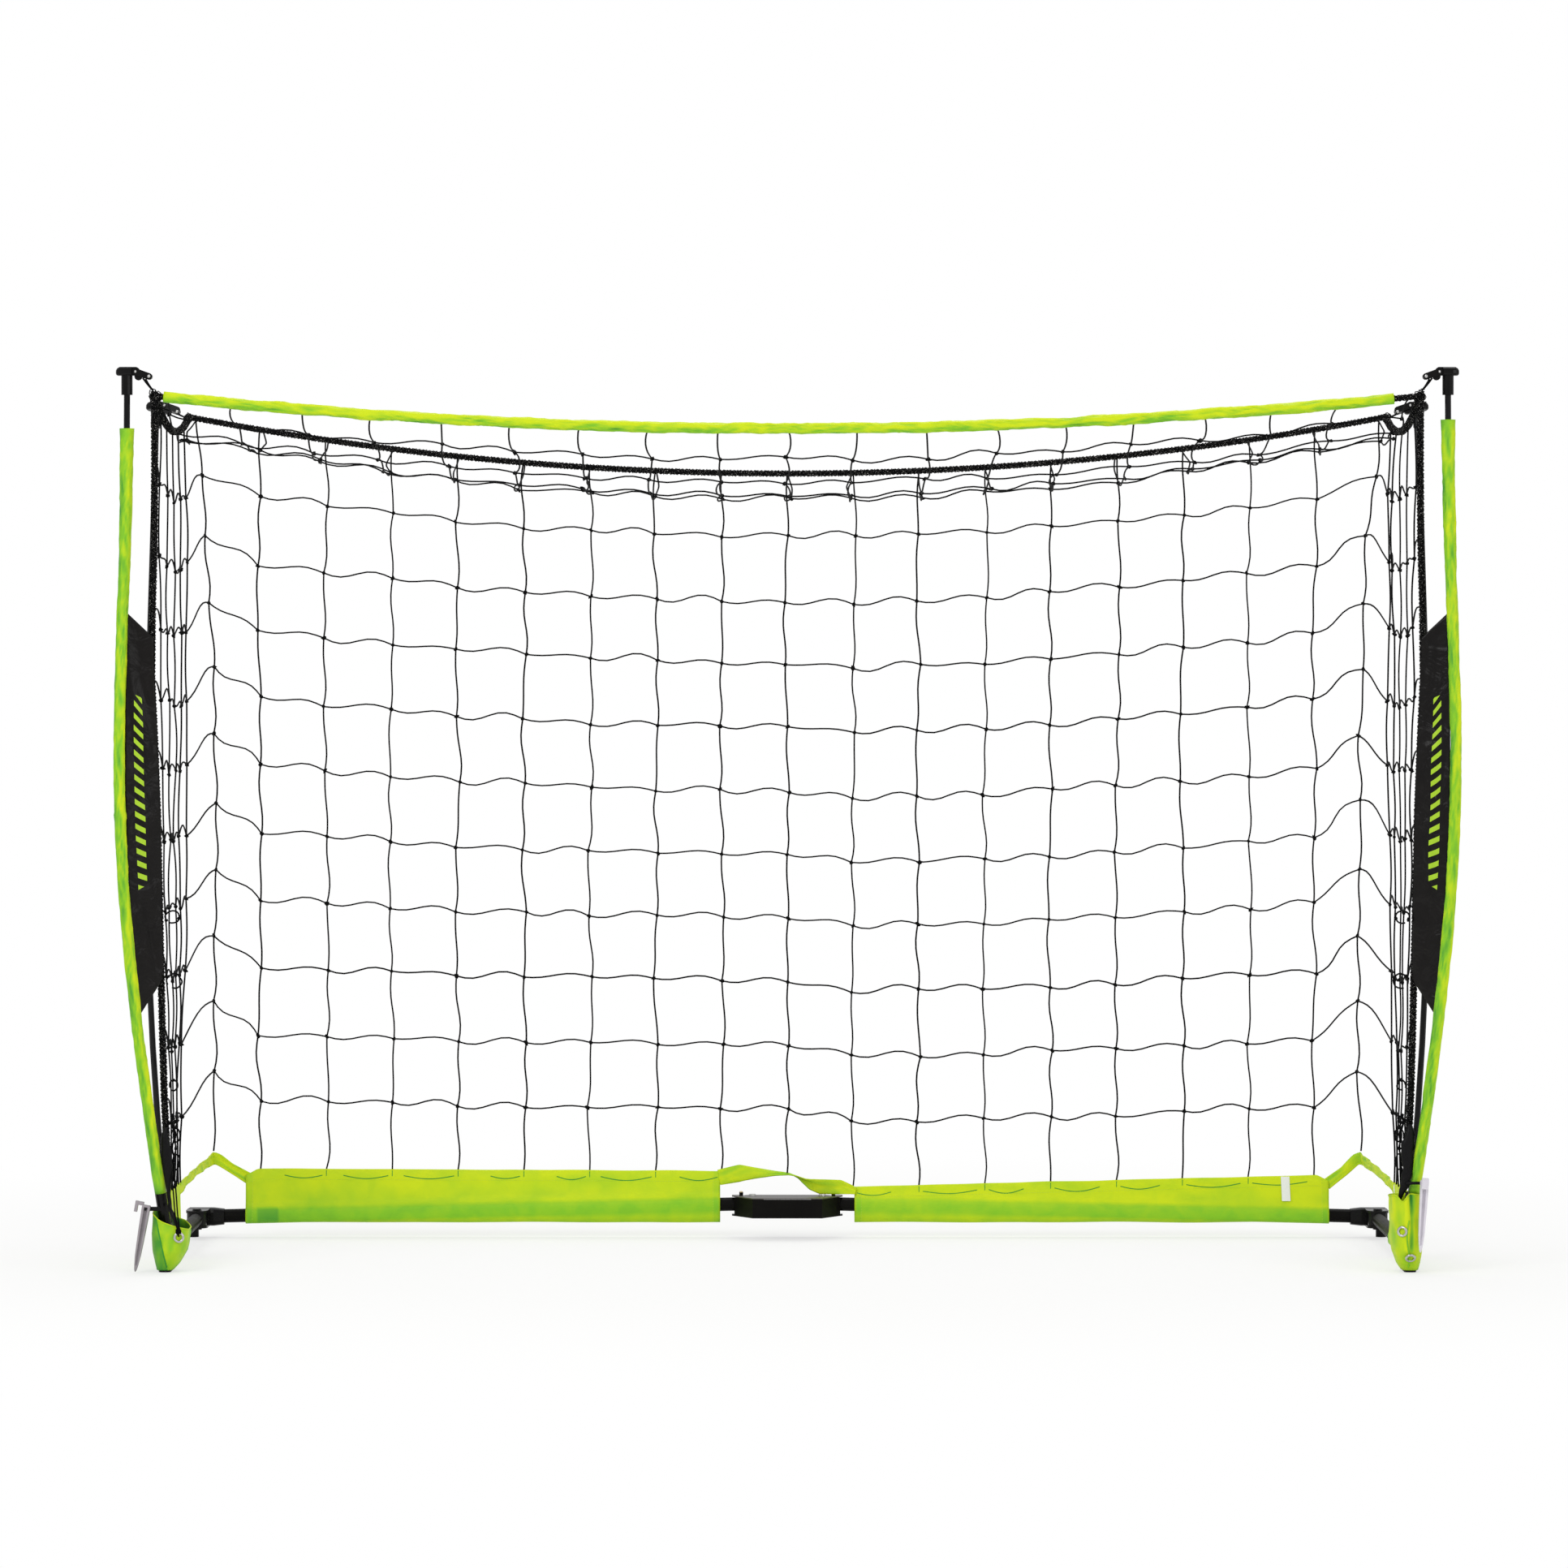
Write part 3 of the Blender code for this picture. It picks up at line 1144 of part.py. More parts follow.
def net_tab(name, side, body):
    """Gathered end of the net, tied in front of the border rope, and its strap down to the boot."""
    low, high = TAB_Z
    foot = (BOOT_X + CORD_GROMMET[0], CORD_GROMMET[1] + GROMMET_R + 2 * GAP)
    rim = (TAB_X - STRAP_TOP[0], BOOT_TOP + STRAP_TOP[1])
    rings = []
    for x, z in (foot, rim):
        seat, outward = boot_front(x, min(z, BOOT_TOP))
        place = seat + outward * (STRAP_HALF[1] + GAP)
        rings.append(rounded_ring(place, *STRAP_HALF, z, 0.9, 2))
    for share, width in TAB_WIDTHS:
        halves = (TAB_HALF[0] * width, TAB_HALF[1] * (1 + width) / 2)
        rings.append(rounded_ring((TAB_X, TAB_Y), *halves, low + (high - low) * share, 0.9, 2))
    item = solid(f"net_tab_{name}", lofted(rings), TWINE, body, side)
    if name == "right":
        peg_hanger(item, name, side)


def peg_pivot(name):
    head, tip = (Vector(end) for end in PEGS[name][:2])
    return head + (tip - head).normalized() * PEG_PIVOT


def peg_hanger(item, name, side):
    """Joins a strap to the hub or to the net's tab, with the cross pin that the peg swings on."""
    pivot = peg_pivot(name)
    back = pivot.y + PEG_HALF + GAP
    x, y = PEG_STRAP_STARTS[name]
    end = pivot.x + PEG_STRAP_HALF
    half = PEG_STRAP_T
    outline = [(x - half, y), (x - half, back), (end, back)]
    outline += [(end, back + PEG_STRAP_T), (x + half, back + PEG_STRAP_T), (x + half, y)]
    strap = prism(outline, pivot.z - PEG_STRAP_HALF, pivot.z + PEG_STRAP_HALF)
    boolean(item, strap, "UNION", side)
    pin = cylinder(PEG_PIN_R, -PEG_STRAP_T / 2, 2 * PEG_HALF + PEG_PIN_END, 10)
    boolean(item, aimed(pin, (pivot.x, back, pivot.z), (0, -1, 0)), "UNION", side)


def peg(name, side, body, head, tip, hook_to, finish):
    """Ground peg: a tapered bar with a hooked head that reaches towards hook_to."""
    head, tip = Vector(head), Vector(tip)
    along = (tip - head).normalized()
    across = Vector(hook_to).cross(along).normalized()
    hook = along.cross(across)
    length = (tip - head).length
    rings = []
    for share, size in PEG_TAPER:
        place = head + along * length * share
        half = PEG_HALF * size
        corners = ((-1, -1), (1, -1), (1, 1), (-1, 1))
        rings.append([place + (hook * a + across * b) * half for a, b in corners])
    item = solid(f"peg_{name}", lofted(rings), finish, body, side)
    reach = PEG_HALF + PEG_HOOK
    thick = PEG_HOOK_T
    outline = [(-PEG_HALF * 0.9, -thick), (reach, -thick), (reach, 3 * thick), (reach - thick, 3 * thick)]
    outline += [(reach - thick, thick / 4), (-PEG_HALF * 0.9, thick / 4)]
    shape = prism(outline, -PEG_HALF * 0.7, PEG_HALF * 0.7)
    frame = Matrix((hook, along, across)).transposed().to_4x4()
    bmesh.ops.transform(shape, matrix=Matrix.Translation(head) @ frame, verts=shape.verts)
    boolean(item, shape, "UNION", side)
    hole = cylinder(PEG_PIN_R + GAP, -2 * PEG_HALF, 2 * PEG_HALF, 10)
    boolean(item, aimed(hole, peg_pivot(name), (0, 1, 0)), "DIFFERENCE", side)


def tie_cord(name, side, body, start, end):
    start, end = Vector(start), Vector(end)
    rod(name, [start, (start + end) / 2, end], TIE_R, TWINE, body, side)


def build():
    clear_scene()
    bodies = {"centre_bracket": body_empty("body_centre_bracket", (0, REAR_Y, BAR_MID_Z))}
    for side, name in ((-1, "left"), (1, "right")):
        places = (
            (f"rear_bar_{name}", (PIVOT_X, REAR_Y, BAR_MID_Z), "centre_bracket"),
            (f"arm_{name}", (ARM_X, PIN_Y, ARM_Z), f"rear_bar_{name}"),
            (f"front_pole_{name}", FRONT_ROD.foot, f"arm_{name}"),
            (f"rear_pole_{name}", REAR_ROD.foot, f"arm_{name}"),
            (f"peg_{name}", peg_pivot(name), f"arm_{name}"),
        )
        for body, place, parent in places:
            spot = (place[0] * side, place[1], place[2])
            bodies[body] = body_empty(f"body_{body}", spot, bodies[parent])

    centre_bracket(bodies["centre_bracket"])
    centre_band(bodies["centre_bracket"])
    back_panels(bodies)
    for side, name in ((-1, "left"), (1, "right")):
        bar, arm = bodies[f"rear_bar_{name}"], bodies[f"arm_{name}"]
        rear_bar(name, side, bar)
        rear_corner(name, side, bar)
        bar_skirt(name, side, bar)
        side_arm(name, side, arm)
        front_hub(name, side, arm)
        boot(name, side, arm)
        arm_skirt(name, side, arm)
        corner_band(name, side, arm)
        side_panel(name, side, arm)
        banner(name, side, arm)
        net_tab(name, side, arm)
        knots = {
            "front": Vector((CORNER_X, FRONT_Y, FRONT_CORNER_Z + ROPE_R)),
            "rear": Vector((CORNER_X + ROPE_R, SIDE_REAR_Y, REAR_CORNER_Z)),
        }
        for end, path in (("front", FRONT_ROD), ("rear", REAR_ROD)):
            pole = bodies[f"{end}_pole_{name}"]
            rod(f"{end}_rod_{name}", path.points(), ROD_R, FIBREGLASS, pole, side)
            hang = tee_cap(f"{end}_{name}", path, side, pole)
            towards = (knots[end] - hang).normalized()
            hang += towards * (LINK_R + TIE_SLACK)
            tie_cord(f"{end}_tie_{name}", side, arm, hang, knots[end] - towards * TIE_SLACK)
        front_sleeve(name, side, bodies[f"front_pole_{name}"])
        peg(name, side, bodies[f"peg_{name}"], *PEGS[name], PEG_FINISH[name])
    crossbar(bodies["arm_left"])
    roof_panel(bodies["arm_left"])


build()
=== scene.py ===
import math
import random

import bmesh
import bpy
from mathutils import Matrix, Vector, noise


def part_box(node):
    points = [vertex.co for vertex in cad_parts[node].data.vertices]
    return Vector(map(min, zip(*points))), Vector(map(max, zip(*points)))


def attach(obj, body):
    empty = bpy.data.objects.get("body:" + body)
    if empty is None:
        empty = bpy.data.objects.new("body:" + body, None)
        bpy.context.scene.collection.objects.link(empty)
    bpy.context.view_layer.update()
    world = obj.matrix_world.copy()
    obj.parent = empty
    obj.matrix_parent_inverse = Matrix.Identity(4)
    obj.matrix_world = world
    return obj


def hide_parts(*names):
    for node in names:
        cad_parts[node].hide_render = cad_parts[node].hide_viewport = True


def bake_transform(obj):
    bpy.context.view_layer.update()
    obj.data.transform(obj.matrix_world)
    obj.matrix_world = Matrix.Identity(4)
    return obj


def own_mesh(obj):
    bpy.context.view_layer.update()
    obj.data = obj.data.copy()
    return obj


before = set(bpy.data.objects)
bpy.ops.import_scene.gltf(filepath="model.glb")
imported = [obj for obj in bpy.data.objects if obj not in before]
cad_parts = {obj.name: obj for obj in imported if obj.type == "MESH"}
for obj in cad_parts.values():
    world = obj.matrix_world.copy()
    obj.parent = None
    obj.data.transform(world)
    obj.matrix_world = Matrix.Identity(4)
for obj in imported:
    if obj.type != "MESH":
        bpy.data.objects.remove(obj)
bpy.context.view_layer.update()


# Studio: a pale floor under an even white sky, a broad soft lamp in front and one overhead, and a
# long lens about ten metres in front of the goal's mouth, 0.9 m above the ground.
def linear(code):
    """An sRGB hex colour as linear red, green, blue and alpha."""
    values = [int(code[i : i + 2], 16) / 255 for i in (0, 2, 4)]
    return (*[v / 12.92 if v <= 0.04045 else ((v + 0.055) / 1.055) ** 2.4 for v in values], 1)


def add(tree, kind, inputs=None, **settings):
    """Adds a node with its settings. Each input is a value, a node or output to link, or a list of those.

    A kind without Node in it is a shader node, which geometry trees take too.
    """
    node = tree.nodes.new(kind if "Node" in kind else f"ShaderNode{kind}")
    for name, value in settings.items():
        setattr(node, name, value)
    for name, value in (inputs or {}).items():
        for source in value if isinstance(value, list) else [value]:
            if isinstance(source, bpy.types.Node):
                source = source.outputs[0]
            if isinstance(source, bpy.types.NodeSocket):
                tree.links.new(source, node.inputs[name])
            else:
                node.inputs[name].default_value = source
    return node


def bare_tree(owner):
    owner.use_nodes = True
    owner.node_tree.nodes.clear()
    return owner.node_tree


def in_view(tree):
    """1 for a ray from the lens, straight or through something clear."""
    rays = add(tree, "LightPath").outputs
    return add(tree, "Math", {0: rays["Is Camera Ray"], 1: rays["Is Transmission Ray"]}, operation="MAXIMUM")


def shown(name, data):
    """An object in the scene."""
    item = bpy.data.objects.new(name, data)
    bpy.context.collection.objects.link(item)
    return item


def finished(name, shape, *finishes, smooth=False):
    """Turns a worked shape into an object in the scene, in its finishes."""
    mesh = bpy.data.meshes.new(name)
    shape.to_mesh(mesh)
    shape.free()
    if smooth:
        mesh.shade_smooth()
    for finish in finishes:
        mesh.materials.append(finish)
    return shown(name, mesh)


FRONT_Y, REAR_Y = -0.2885, 0.3215
CAMERA_BACK, CAMERA_HEIGHT, CAMERA_DIP = 10.323, 0.9, 1.11
LENS_PX, PHOTO_PX = 8878, 1932
WHITE = linear("FFFFFF")

lens = bpy.data.cameras.new("camera")
lens.angle = 2 * math.atan(PHOTO_PX / 2 / LENS_PX)
lens.clip_end = 100
camera = shown("camera", lens)
camera.location = (-0.005, FRONT_Y - CAMERA_BACK, CAMERA_HEIGHT)
camera.rotation_euler = (math.radians(90 - CAMERA_DIP), 0, 0)
bpy.context.scene.camera = camera
bpy.context.scene.view_settings.view_transform = "Standard"

bpy.context.scene.world = bpy.data.worlds.new("sky")
tree = bare_tree(bpy.context.scene.world)
lighting = add(tree, "Background", {"Color": WHITE, "Strength": 0.60})
backdrop = add(tree, "Background", {"Color": WHITE, "Strength": 1.0})
sky = add(tree, "MixShader", {0: in_view(tree), 1: lighting, 2: backdrop})
add(tree, "OutputWorld", {"Surface": sky})

for name, place, aim_z, size, power in (
    ("key_lamp", (-2.6, -4.2, 3.6), 0.6, 2.6, 105),
    ("fill_lamp", (3.4, -3.4, 2.2), 0.6, 2.6, 36),
    ("top_lamp", (0.4, 1.6, 4.2), 0.4, 3.0, 60),
):
    lamp = bpy.data.lights.new(name, "AREA")
    lamp.shape, lamp.size, lamp.energy = "DISK", size, power
    item = shown(name, lamp)
    item.location = place
    item.rotation_euler = (Vector((0, 0, aim_z)) - Vector(place)).to_track_quat("-Z", "Y").to_euler()

# The paper's glow takes over from its shading with distance, so that the floor fades into the backdrop.
paper = bpy.data.materials.new("studio_paper")
tree = bare_tree(paper)
ground = add(tree, "TexCoord").outputs["Object"]
distance = add(tree, "VectorMath", {0: ground}, operation="LENGTH").outputs["Value"]
fade = add(tree, "MapRange", {0: distance, 1: 0.7, 2: 2.2, 3: 0.60, 4: 1.0}, interpolation_type="SMOOTHSTEP")
share = add(tree, "Math", {0: in_view(tree), 1: fade}, operation="MULTIPLY")
matt = add(tree, "BsdfDiffuse", {"Color": linear("F4F4F2")})
glow = add(tree, "Emission", {"Color": WHITE, "Strength": 1.0})
mixed = add(tree, "MixShader", {0: share, 1: matt, 2: glow})
add(tree, "OutputMaterial", {"Surface": mixed})
disc = bmesh.new()
bmesh.ops.create_circle(disc, cap_ends=True, segments=64, radius=30)
floor = finished("floor", disc, paper)
floor.location.z = -0.0004


# Rear bar and side arms: black powder-coated steel tube, 20.5 mm across. The bar's two halves meet in
# the centre bracket and end in the corner joints; the arms run forward to the feet. They are CAD nodes.
def material(name, colours, patches, rough, grain=None, relief=None, dulled_by_grain=False, span=None,
             stretch=None, specular=0.5, **levels):
    """A finish on object coordinates. patches and grain are noises, of a scale, a detail and a distortion.

    patches run between the two colours, over a span of the noise, and between the values of rough, if those
    are two. grain, or else patches, dents the surface by relief's strength and distance.
    """
    made = bpy.data.materials.new(name)
    tree = bare_tree(made)
    place = add(tree, "TexCoord").outputs["Object"]
    if stretch:
        place = add(tree, "Mapping", {"Vector": place, "Scale": stretch})
    noises = [
        add(tree, "TexNoise", {"Vector": place, **dict(zip(("Scale", "Detail", "Distortion"), values))})
        for values in (patches, grain) if values
    ]
    spots, dents = noises[0], noises[-1]
    shares = add(tree, "MapRange", {0: spots, 1: span[0], 2: span[1]}) if span else spots
    levels["Base Color"] = add(tree, "MixRGB", {0: shares, 1: linear(colours[0]), 2: linear(colours[1])})
    if isinstance(rough, tuple):
        rough = add(tree, "MapRange", {0: dents if dulled_by_grain else spots, 3: rough[0], 4: rough[1]})
    if relief:
        levels["Normal"] = add(tree, "Bump", {"Height": dents, "Strength": relief[0], "Distance": relief[1]})
    shader = add(tree, "BsdfPrincipled", {"Roughness": rough, "Specular IOR Level": specular, **levels})
    add(tree, "OutputMaterial", {"Surface": shader})
    return made


def paint(names, finish):
    """Gives CAD nodes a finish in place of their plain one."""
    for name in names:
        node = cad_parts[name]
        node.data.materials.clear()
        node.data.materials.append(finish)


SIDES = (("left", -1), ("right", 1))

# Powder coat has a fine orange peel that softens its highlights. The real 0.4 mm peel is drawn at 1.5 mm.
powder_coat = material("powder_coated_steel", ("090808", "12110F"), patches=(30, 3), rough=(0.36, 0.50),
                       grain=(650, 2), relief=(0.12, 0.0004), specular=0.06)
tubes = [f"{piece}_{side}" for piece in ("rear_bar", "side_arm") for side, _ in SIDES]
paint(tubes, powder_coat)


# Corner joints, arm knuckles and front feet: injection-moulded black nylon, filled with glass, with a
# slightly uneven, greyish skin. They are pressed on the tube ends, or turn on a moulded pin.
nylon = material("moulded_black_nylon", ("070707", "121111"), patches=(45, 4, 0.6), rough=(0.14, 0.28),
                 grain=(900, 3), relief=(0.18, 0.0003), specular=0.15)
moulded = ("corner_elbow", "corner_pin", "arm_knuckle", "foot_hub")
paint([f"{piece}_{side}" for piece in moulded for side, _ in SIDES], nylon)


# Centre bracket: two pressed steel plates in black powder coat, with a zinc-plated rivet at each pivot.
# The top plate's coat is painted greyer, as a painted reflection of the bright sky on its top, and it is
# smoother.
paint(["bracket_body"], powder_coat)
painted_sheen_coat = material("rubbed_powder_coat", ("2E2A28", "5A5450"), patches=(180, 4, 0.5), rough=(0.22, 0.40))
paint(["bracket_top_plate"], painted_sheen_coat)

# Zinc plating is bright and bluish, with faint brushed marks and dull spots.
zinc = material("zinc_plated_steel", ("A9A9AC", "D9D8D4"), patches=(150, 2), rough=(0.20, 0.42),
                grain=(420, 3), relief=(0.08, 0.0002), dulled_by_grain=True, Metallic=1.0)
paint([f"pivot_rivet_{side}" for side, _ in SIDES], zinc)


# Bowed rods: pultruded fibreglass, 9 mm across, in a glossy black resin. Its glass runs lengthwise, which
# gives fine streaks along each rod. The rods stand in the sockets of the feet and the corner joints.
fibreglass = material("pultruded_fibreglass", ("050506", "0E0D0F"), patches=(1400, 2), rough=0.26,
                      relief=(0.10, 0.0002), stretch=(1, 1, 0.02), specular=0.1,
                      **{"Coat Weight": 0.2, "Coat Roughness": 0.12})
paint([f"{end}_rod_{side}" for end in ("front", "rear") for side, _ in SIDES], fibreglass)


# T caps: moulded nylon caps on the rod tops, each with a short link on two rivets. The link's eye holds
# the tie of a net corner.
for piece in ("tee_cap", "link"):
    paint([f"{end}_{side}_{piece}" for end in ("front", "rear") for side, _ in SIDES], nylon)


# Net: knotted black polyethylene twine, 2.6 mm thick, in 100 mm squares. It hangs slack, so that each
# strand waves between its knots. The back is tied to a border rope, and its foot is sewn in the skirt.
# Spun twine is dull, and its fibres break up the light.
twine = material("netting_twine", ("040405", "0C0C0D"), patches=(25, 3), rough=0.62, grain=(1500, 2),
                 relief=(0.5, 0.0004), specular=0.06)


def node_group(name, inputs):
    """A geometry tree with named inputs. Returns it, and what it is given."""
    group = bpy.data.node_groups.new(name, "GeometryNodeTree")
    group.interface.new_socket("Geometry", in_out="INPUT", socket_type="NodeSocketGeometry")
    for label, value in inputs.items():
        kind = f"NodeSocket{type(value).__name__.title()}"
        group.interface.new_socket(label, in_out="INPUT", socket_type=kind).default_value = value
    group.interface.new_socket("Geometry", in_out="OUTPUT", socket_type="NodeSocketGeometry")
    return group, add(group, "NodeGroupInput").outputs


def swept(tree, curve, sides, radius):
    """Adds a round cord along a curve."""
    circle = add(tree, "GeometryNodeCurvePrimitiveCircle", {"Resolution": sides, "Radius": radius})
    return add(tree, "GeometryNodeCurveToMesh", {"Curve": curve, "Profile Curve": circle, "Fill Caps": True})


def close(tree, pieces, surface):
    """Ends a geometry tree in plain, painted geometry."""
    both = add(tree, "GeometryNodeJoinGeometry", {0: pieces})
    smooth = add(tree, "GeometryNodeSetShadeSmooth", {0: both})
    real = add(tree, "GeometryNodeRealizeInstances", {0: smooth})
    painted = add(tree, "GeometryNodeSetMaterial", {"Geometry": real, "Material": surface})
    add(tree, "NodeGroupOutput", {0: painted})
    return tree


def settle(item):
    """Turns a piece with live modifiers into a plain mesh."""
    bpy.context.view_layer.update()
    mesh = bpy.data.meshes.new_from_object(item.evaluated_get(bpy.context.evaluated_depsgraph_get()))
    item.modifiers.clear()
    item.data = mesh
    return item


def grown(name, group, lines, knots=(), **values):
    """Runs a geometry tree on open lines, and on lone points marked as knots. Its result is plain."""
    verts, edges = [], []
    for line in lines:
        edges += [(len(verts) + i, len(verts) + i + 1) for i in range(len(line) - 1)]
        verts += line
    mesh = bpy.data.meshes.new(name)
    mesh.from_pydata([tuple(v) for v in [*verts, *knots]], edges, [])
    flags = mesh.attributes.new("knot", "FLOAT", "POINT")
    flags.data.foreach_set("value", [0.0] * len(verts) + [1.0] * len(knots))
    item = shown(name, mesh)
    grow = item.modifiers.new("grow", "NODES")
    grow.node_group = group
    for socket in group.interface.items_tree:
        label = socket.name.lower().replace(" ", "_")
        if socket.in_out == "INPUT" and label in values:
            grow[socket.identifier] = values[label]
    return settle(item)


# Twine tree: each line of edges becomes a round strand, and each vertex that is marked as a knot gets a
# lump of a few dozen faces, turned at random.
tree, given = node_group(
    "twine_and_knots", {"Strand radius": 0.0011, "Knot size": 0.0032, "Seed": 1, "Material": twine}
)
lines = add(tree, "GeometryNodeMeshToCurve", {"Mesh": given["Geometry"]})
strands = swept(tree, lines, 6, given["Strand radius"])
ball = add(tree, "GeometryNodeMeshUVSphere", {"Segments": 8, "Rings": 6, "Radius": given["Knot size"]})
lumps = add(tree, "TexNoise", {"Scale": 420.0, "Detail": 0.0}, noise_dimensions="3D").outputs["Color"]
centred = add(tree, "VectorMath", {0: lumps, 1: (0.5, 0.5, 0.5)}, operation="SUBTRACT")
pushed = add(tree, "VectorMath", {0: centred, "Scale": 0.0035}, operation="SCALE")
lump = add(tree, "GeometryNodeSetPosition", {"Geometry": ball, "Offset": pushed})
marked = add(tree, "GeometryNodeInputNamedAttribute", {"Name": "knot"}, data_type="FLOAT")
is_knot = add(tree, "FunctionNodeCompare", {0: marked, 1: 0.5}, data_type="FLOAT", operation="GREATER_THAN")
turn, stretch = [
    add(tree, "FunctionNodeRandomValue", {**dict(enumerate(span)), "Seed": given["Seed"]},
        data_type="FLOAT_VECTOR")
    for span in (((0, 0, 0), (6.3, 6.3, 6.3)), ((0.75, 0.8, 0.85), (1.05, 1.1, 1.4)))
]
tied = add(tree, "GeometryNodeInstanceOnPoints", {
    "Points": given["Geometry"], "Selection": is_knot, "Instance": lump, "Rotation": turn, "Scale": stretch,
})
twine_group = close(tree, [strands, tied], given["Material"])

# Rope tree: eight strands wind round the path, four each way, over and under one another, on a core. A
# thin twine is lashed round it in open loops, and short pale fibres stand out of it.
rope_yarn = material("braided_polyester_rope", ("070708", "B9B6B2"), patches=(700, 2), span=(0.62, 0.72),
                     rough=0.74, relief=(0.5, 0.0005), specular=0.06)
tree, given = node_group(
    "braided_rope",
    {"Rope radius": 0.0048, "Strand radius": 0.0017, "Turn length": 0.032, "Lashing": 0.0060,
     "Lashing pitch": 0.0052, "Fibres": 2600.0, "Seed": 3, "Material": rope_yarn},
)
line = add(tree, "GeometryNodeMeshToCurve", {"Mesh": given["Geometry"]})
even, fine = [
    add(tree, "GeometryNodeResampleCurve", {"Curve": line, "Length": step}, mode="LENGTH")
    for step in (0.0023, 0.0007)
]
copies = add(tree, "GeometryNodeDuplicateElements", {"Geometry": even, "Amount": 8}, domain="SPLINE")
known = {
    **dict(given.items()),
    "index": copies.outputs["Duplicate Index"],
    "length": add(tree, "GeometryNodeSplineParameter").outputs["Length"],
    "along": add(tree, "GeometryNodeInputTangent"),
    "normal": add(tree, "GeometryNodeInputNormal"),
}
# Each row is a value's name, the operation that gives it, and its terms.
for name, operation, *terms in (
    ("parity", "MODULO", "index", 2.0),
    ("way", "MULTIPLY_ADD", "parity", -2.0, 1.0),
    ("turns", "DIVIDE", "length", "Turn length"),
    ("phase", "MULTIPLY", "turns", 2 * math.pi),
    ("wound", "MULTIPLY", "phase", "way"),
    ("pair", "DIVIDE", "index", 2.0),
    ("start", "FLOOR", "pair"),
    ("angle", "MULTIPLY_ADD", "start", math.pi / 2, "wound"),
    ("weave", "MULTIPLY", "phase", 4.0),
    ("swing", "COSINE", "weave"),
    ("over", "MULTIPLY", "swing", "way"),
    ("lift", "MULTIPLY", "over", 0.0005),
    ("middle", "SUBTRACT", "Rope radius", "Strand radius"),
    ("reach", "ADD", "middle", "lift"),
    ("cosine", "COSINE", "angle"),
    ("sine", "SINE", "angle"),
    ("loops", "DIVIDE", "length", "Lashing pitch"),
    ("loop angle", "MULTIPLY", "loops", 2 * math.pi),
    ("loop reach", "ADD", "Lashing", -0.0008),
    ("loop cosine", "COSINE", "loop angle"),
    ("loop sine", "SINE", "loop angle"),
    ("loop up", "MULTIPLY", "loop cosine", "loop reach"),
    ("loop side", "MULTIPLY", "loop sine", "loop reach"),
):
    inputs = {place: known.get(term, term) for place, term in enumerate(terms)}
    known[name] = add(tree, "Math", inputs, operation=operation)
for name, operation, first, second in (
    ("across", "CROSS_PRODUCT", "along", "normal"),
    ("spoke up", "SCALE", "normal", "cosine"),
    ("spoke side", "SCALE", "across", "sine"),
    ("spoke", "ADD", "spoke up", "spoke side"),
    ("strand offset", "SCALE", "spoke", "reach"),
    ("lashed up", "SCALE", "normal", "loop up"),
    ("lashed side", "SCALE", "across", "loop side"),
    ("lashing offset", "ADD", "lashed up", "lashed side"),
):
    place = "Scale" if operation == "SCALE" else 1
    known[name] = add(tree, "VectorMath", {0: known[first], place: known[second]}, operation=operation)
wind = add(tree, "GeometryNodeSetPosition", {"Geometry": copies, "Offset": known["strand offset"]})
looped = add(tree, "GeometryNodeSetPosition", {"Geometry": fine, "Offset": known["lashing offset"]})
core = swept(tree, even, 8, known["middle"])
roots = add(tree, "GeometryNodeDistributePointsOnFaces",
            {"Mesh": core, "Density": given["Fibres"], "Seed": given["Seed"]})
fibre = add(tree, "GeometryNodeMeshCone",
            {"Vertices": 3, "Radius Bottom": 0.00016, "Radius Top": 0.0, "Depth": 0.0048}, fill_type="NONE")
tilt = add(tree, "FunctionNodeRandomValue", {0: (-0.9, -0.9, 0), 1: (0.9, 0.9, 6.3), "Seed": given["Seed"]},
           data_type="FLOAT_VECTOR")
lean = add(tree, "FunctionNodeRotateRotation", {"Rotation": roots.outputs["Rotation"], "Rotate By": tilt},
           rotation_space="LOCAL")
fuzz = add(tree, "GeometryNodeInstanceOnPoints", {"Points": roots, "Instance": fibre, "Rotation": lean})
braid = swept(tree, wind, 5, given["Strand radius"])
rope_group = close(tree, [braid, core, swept(tree, looped, 5, 0.0008), fuzz], given["Material"])


# Back net: the panel between the skirt and the border rope that joins the two rear corners. It is in three
# parts, on the bar's halves and the bracket.
CORNER_X = 0.906
FRONT_CORNER_Z, REAR_CORNER_Z = 1.2555, 1.2445
ROPE_R, REAR_ROPE_R, TWINE_R = 0.006, 0.0055, 0.0013
SKIRT_INNER_X, SKIRT_OUTER_X = 0.102, 0.8225
SKIRT_TOP = {"left": (0.1005, 0.1040), "right": (0.0765, 0.0945)}
END_FOOT = (0.871, 0.1305)
NET_ROWS = 11
# The outer column's place across, by its share of the height. It is drawn in at mid height.
END_COLUMN_X = ((0, 0.8715), (0.12, 0.8680), (0.45, 0.8662), (0.65, 0.8700), (0.80, 0.8780), (0.90, 0.8890),
                (1, 0.8970))
chance = random.Random(7)


def evenly(first, last, steps):
    """Values from first to last, in even steps."""
    return [first + (last - first) * i / steps for i in range(steps + 1)]


def read_off(table, at):
    """The values at a place in a table of rows that each start with their own place."""
    for (low, *near), (high, *far) in zip(table, table[1:]):
        if at <= high:
            return [a + (b - a) * (at - low) / (high - low) for a, b in zip(near, far)]
    return table[-1][1:]


def skirt_top(side, x):
    inner, outer = SKIRT_TOP[side]
    return inner + (outer - inner) * (x - SKIRT_INNER_X) / (SKIRT_OUTER_X - SKIRT_INNER_X)


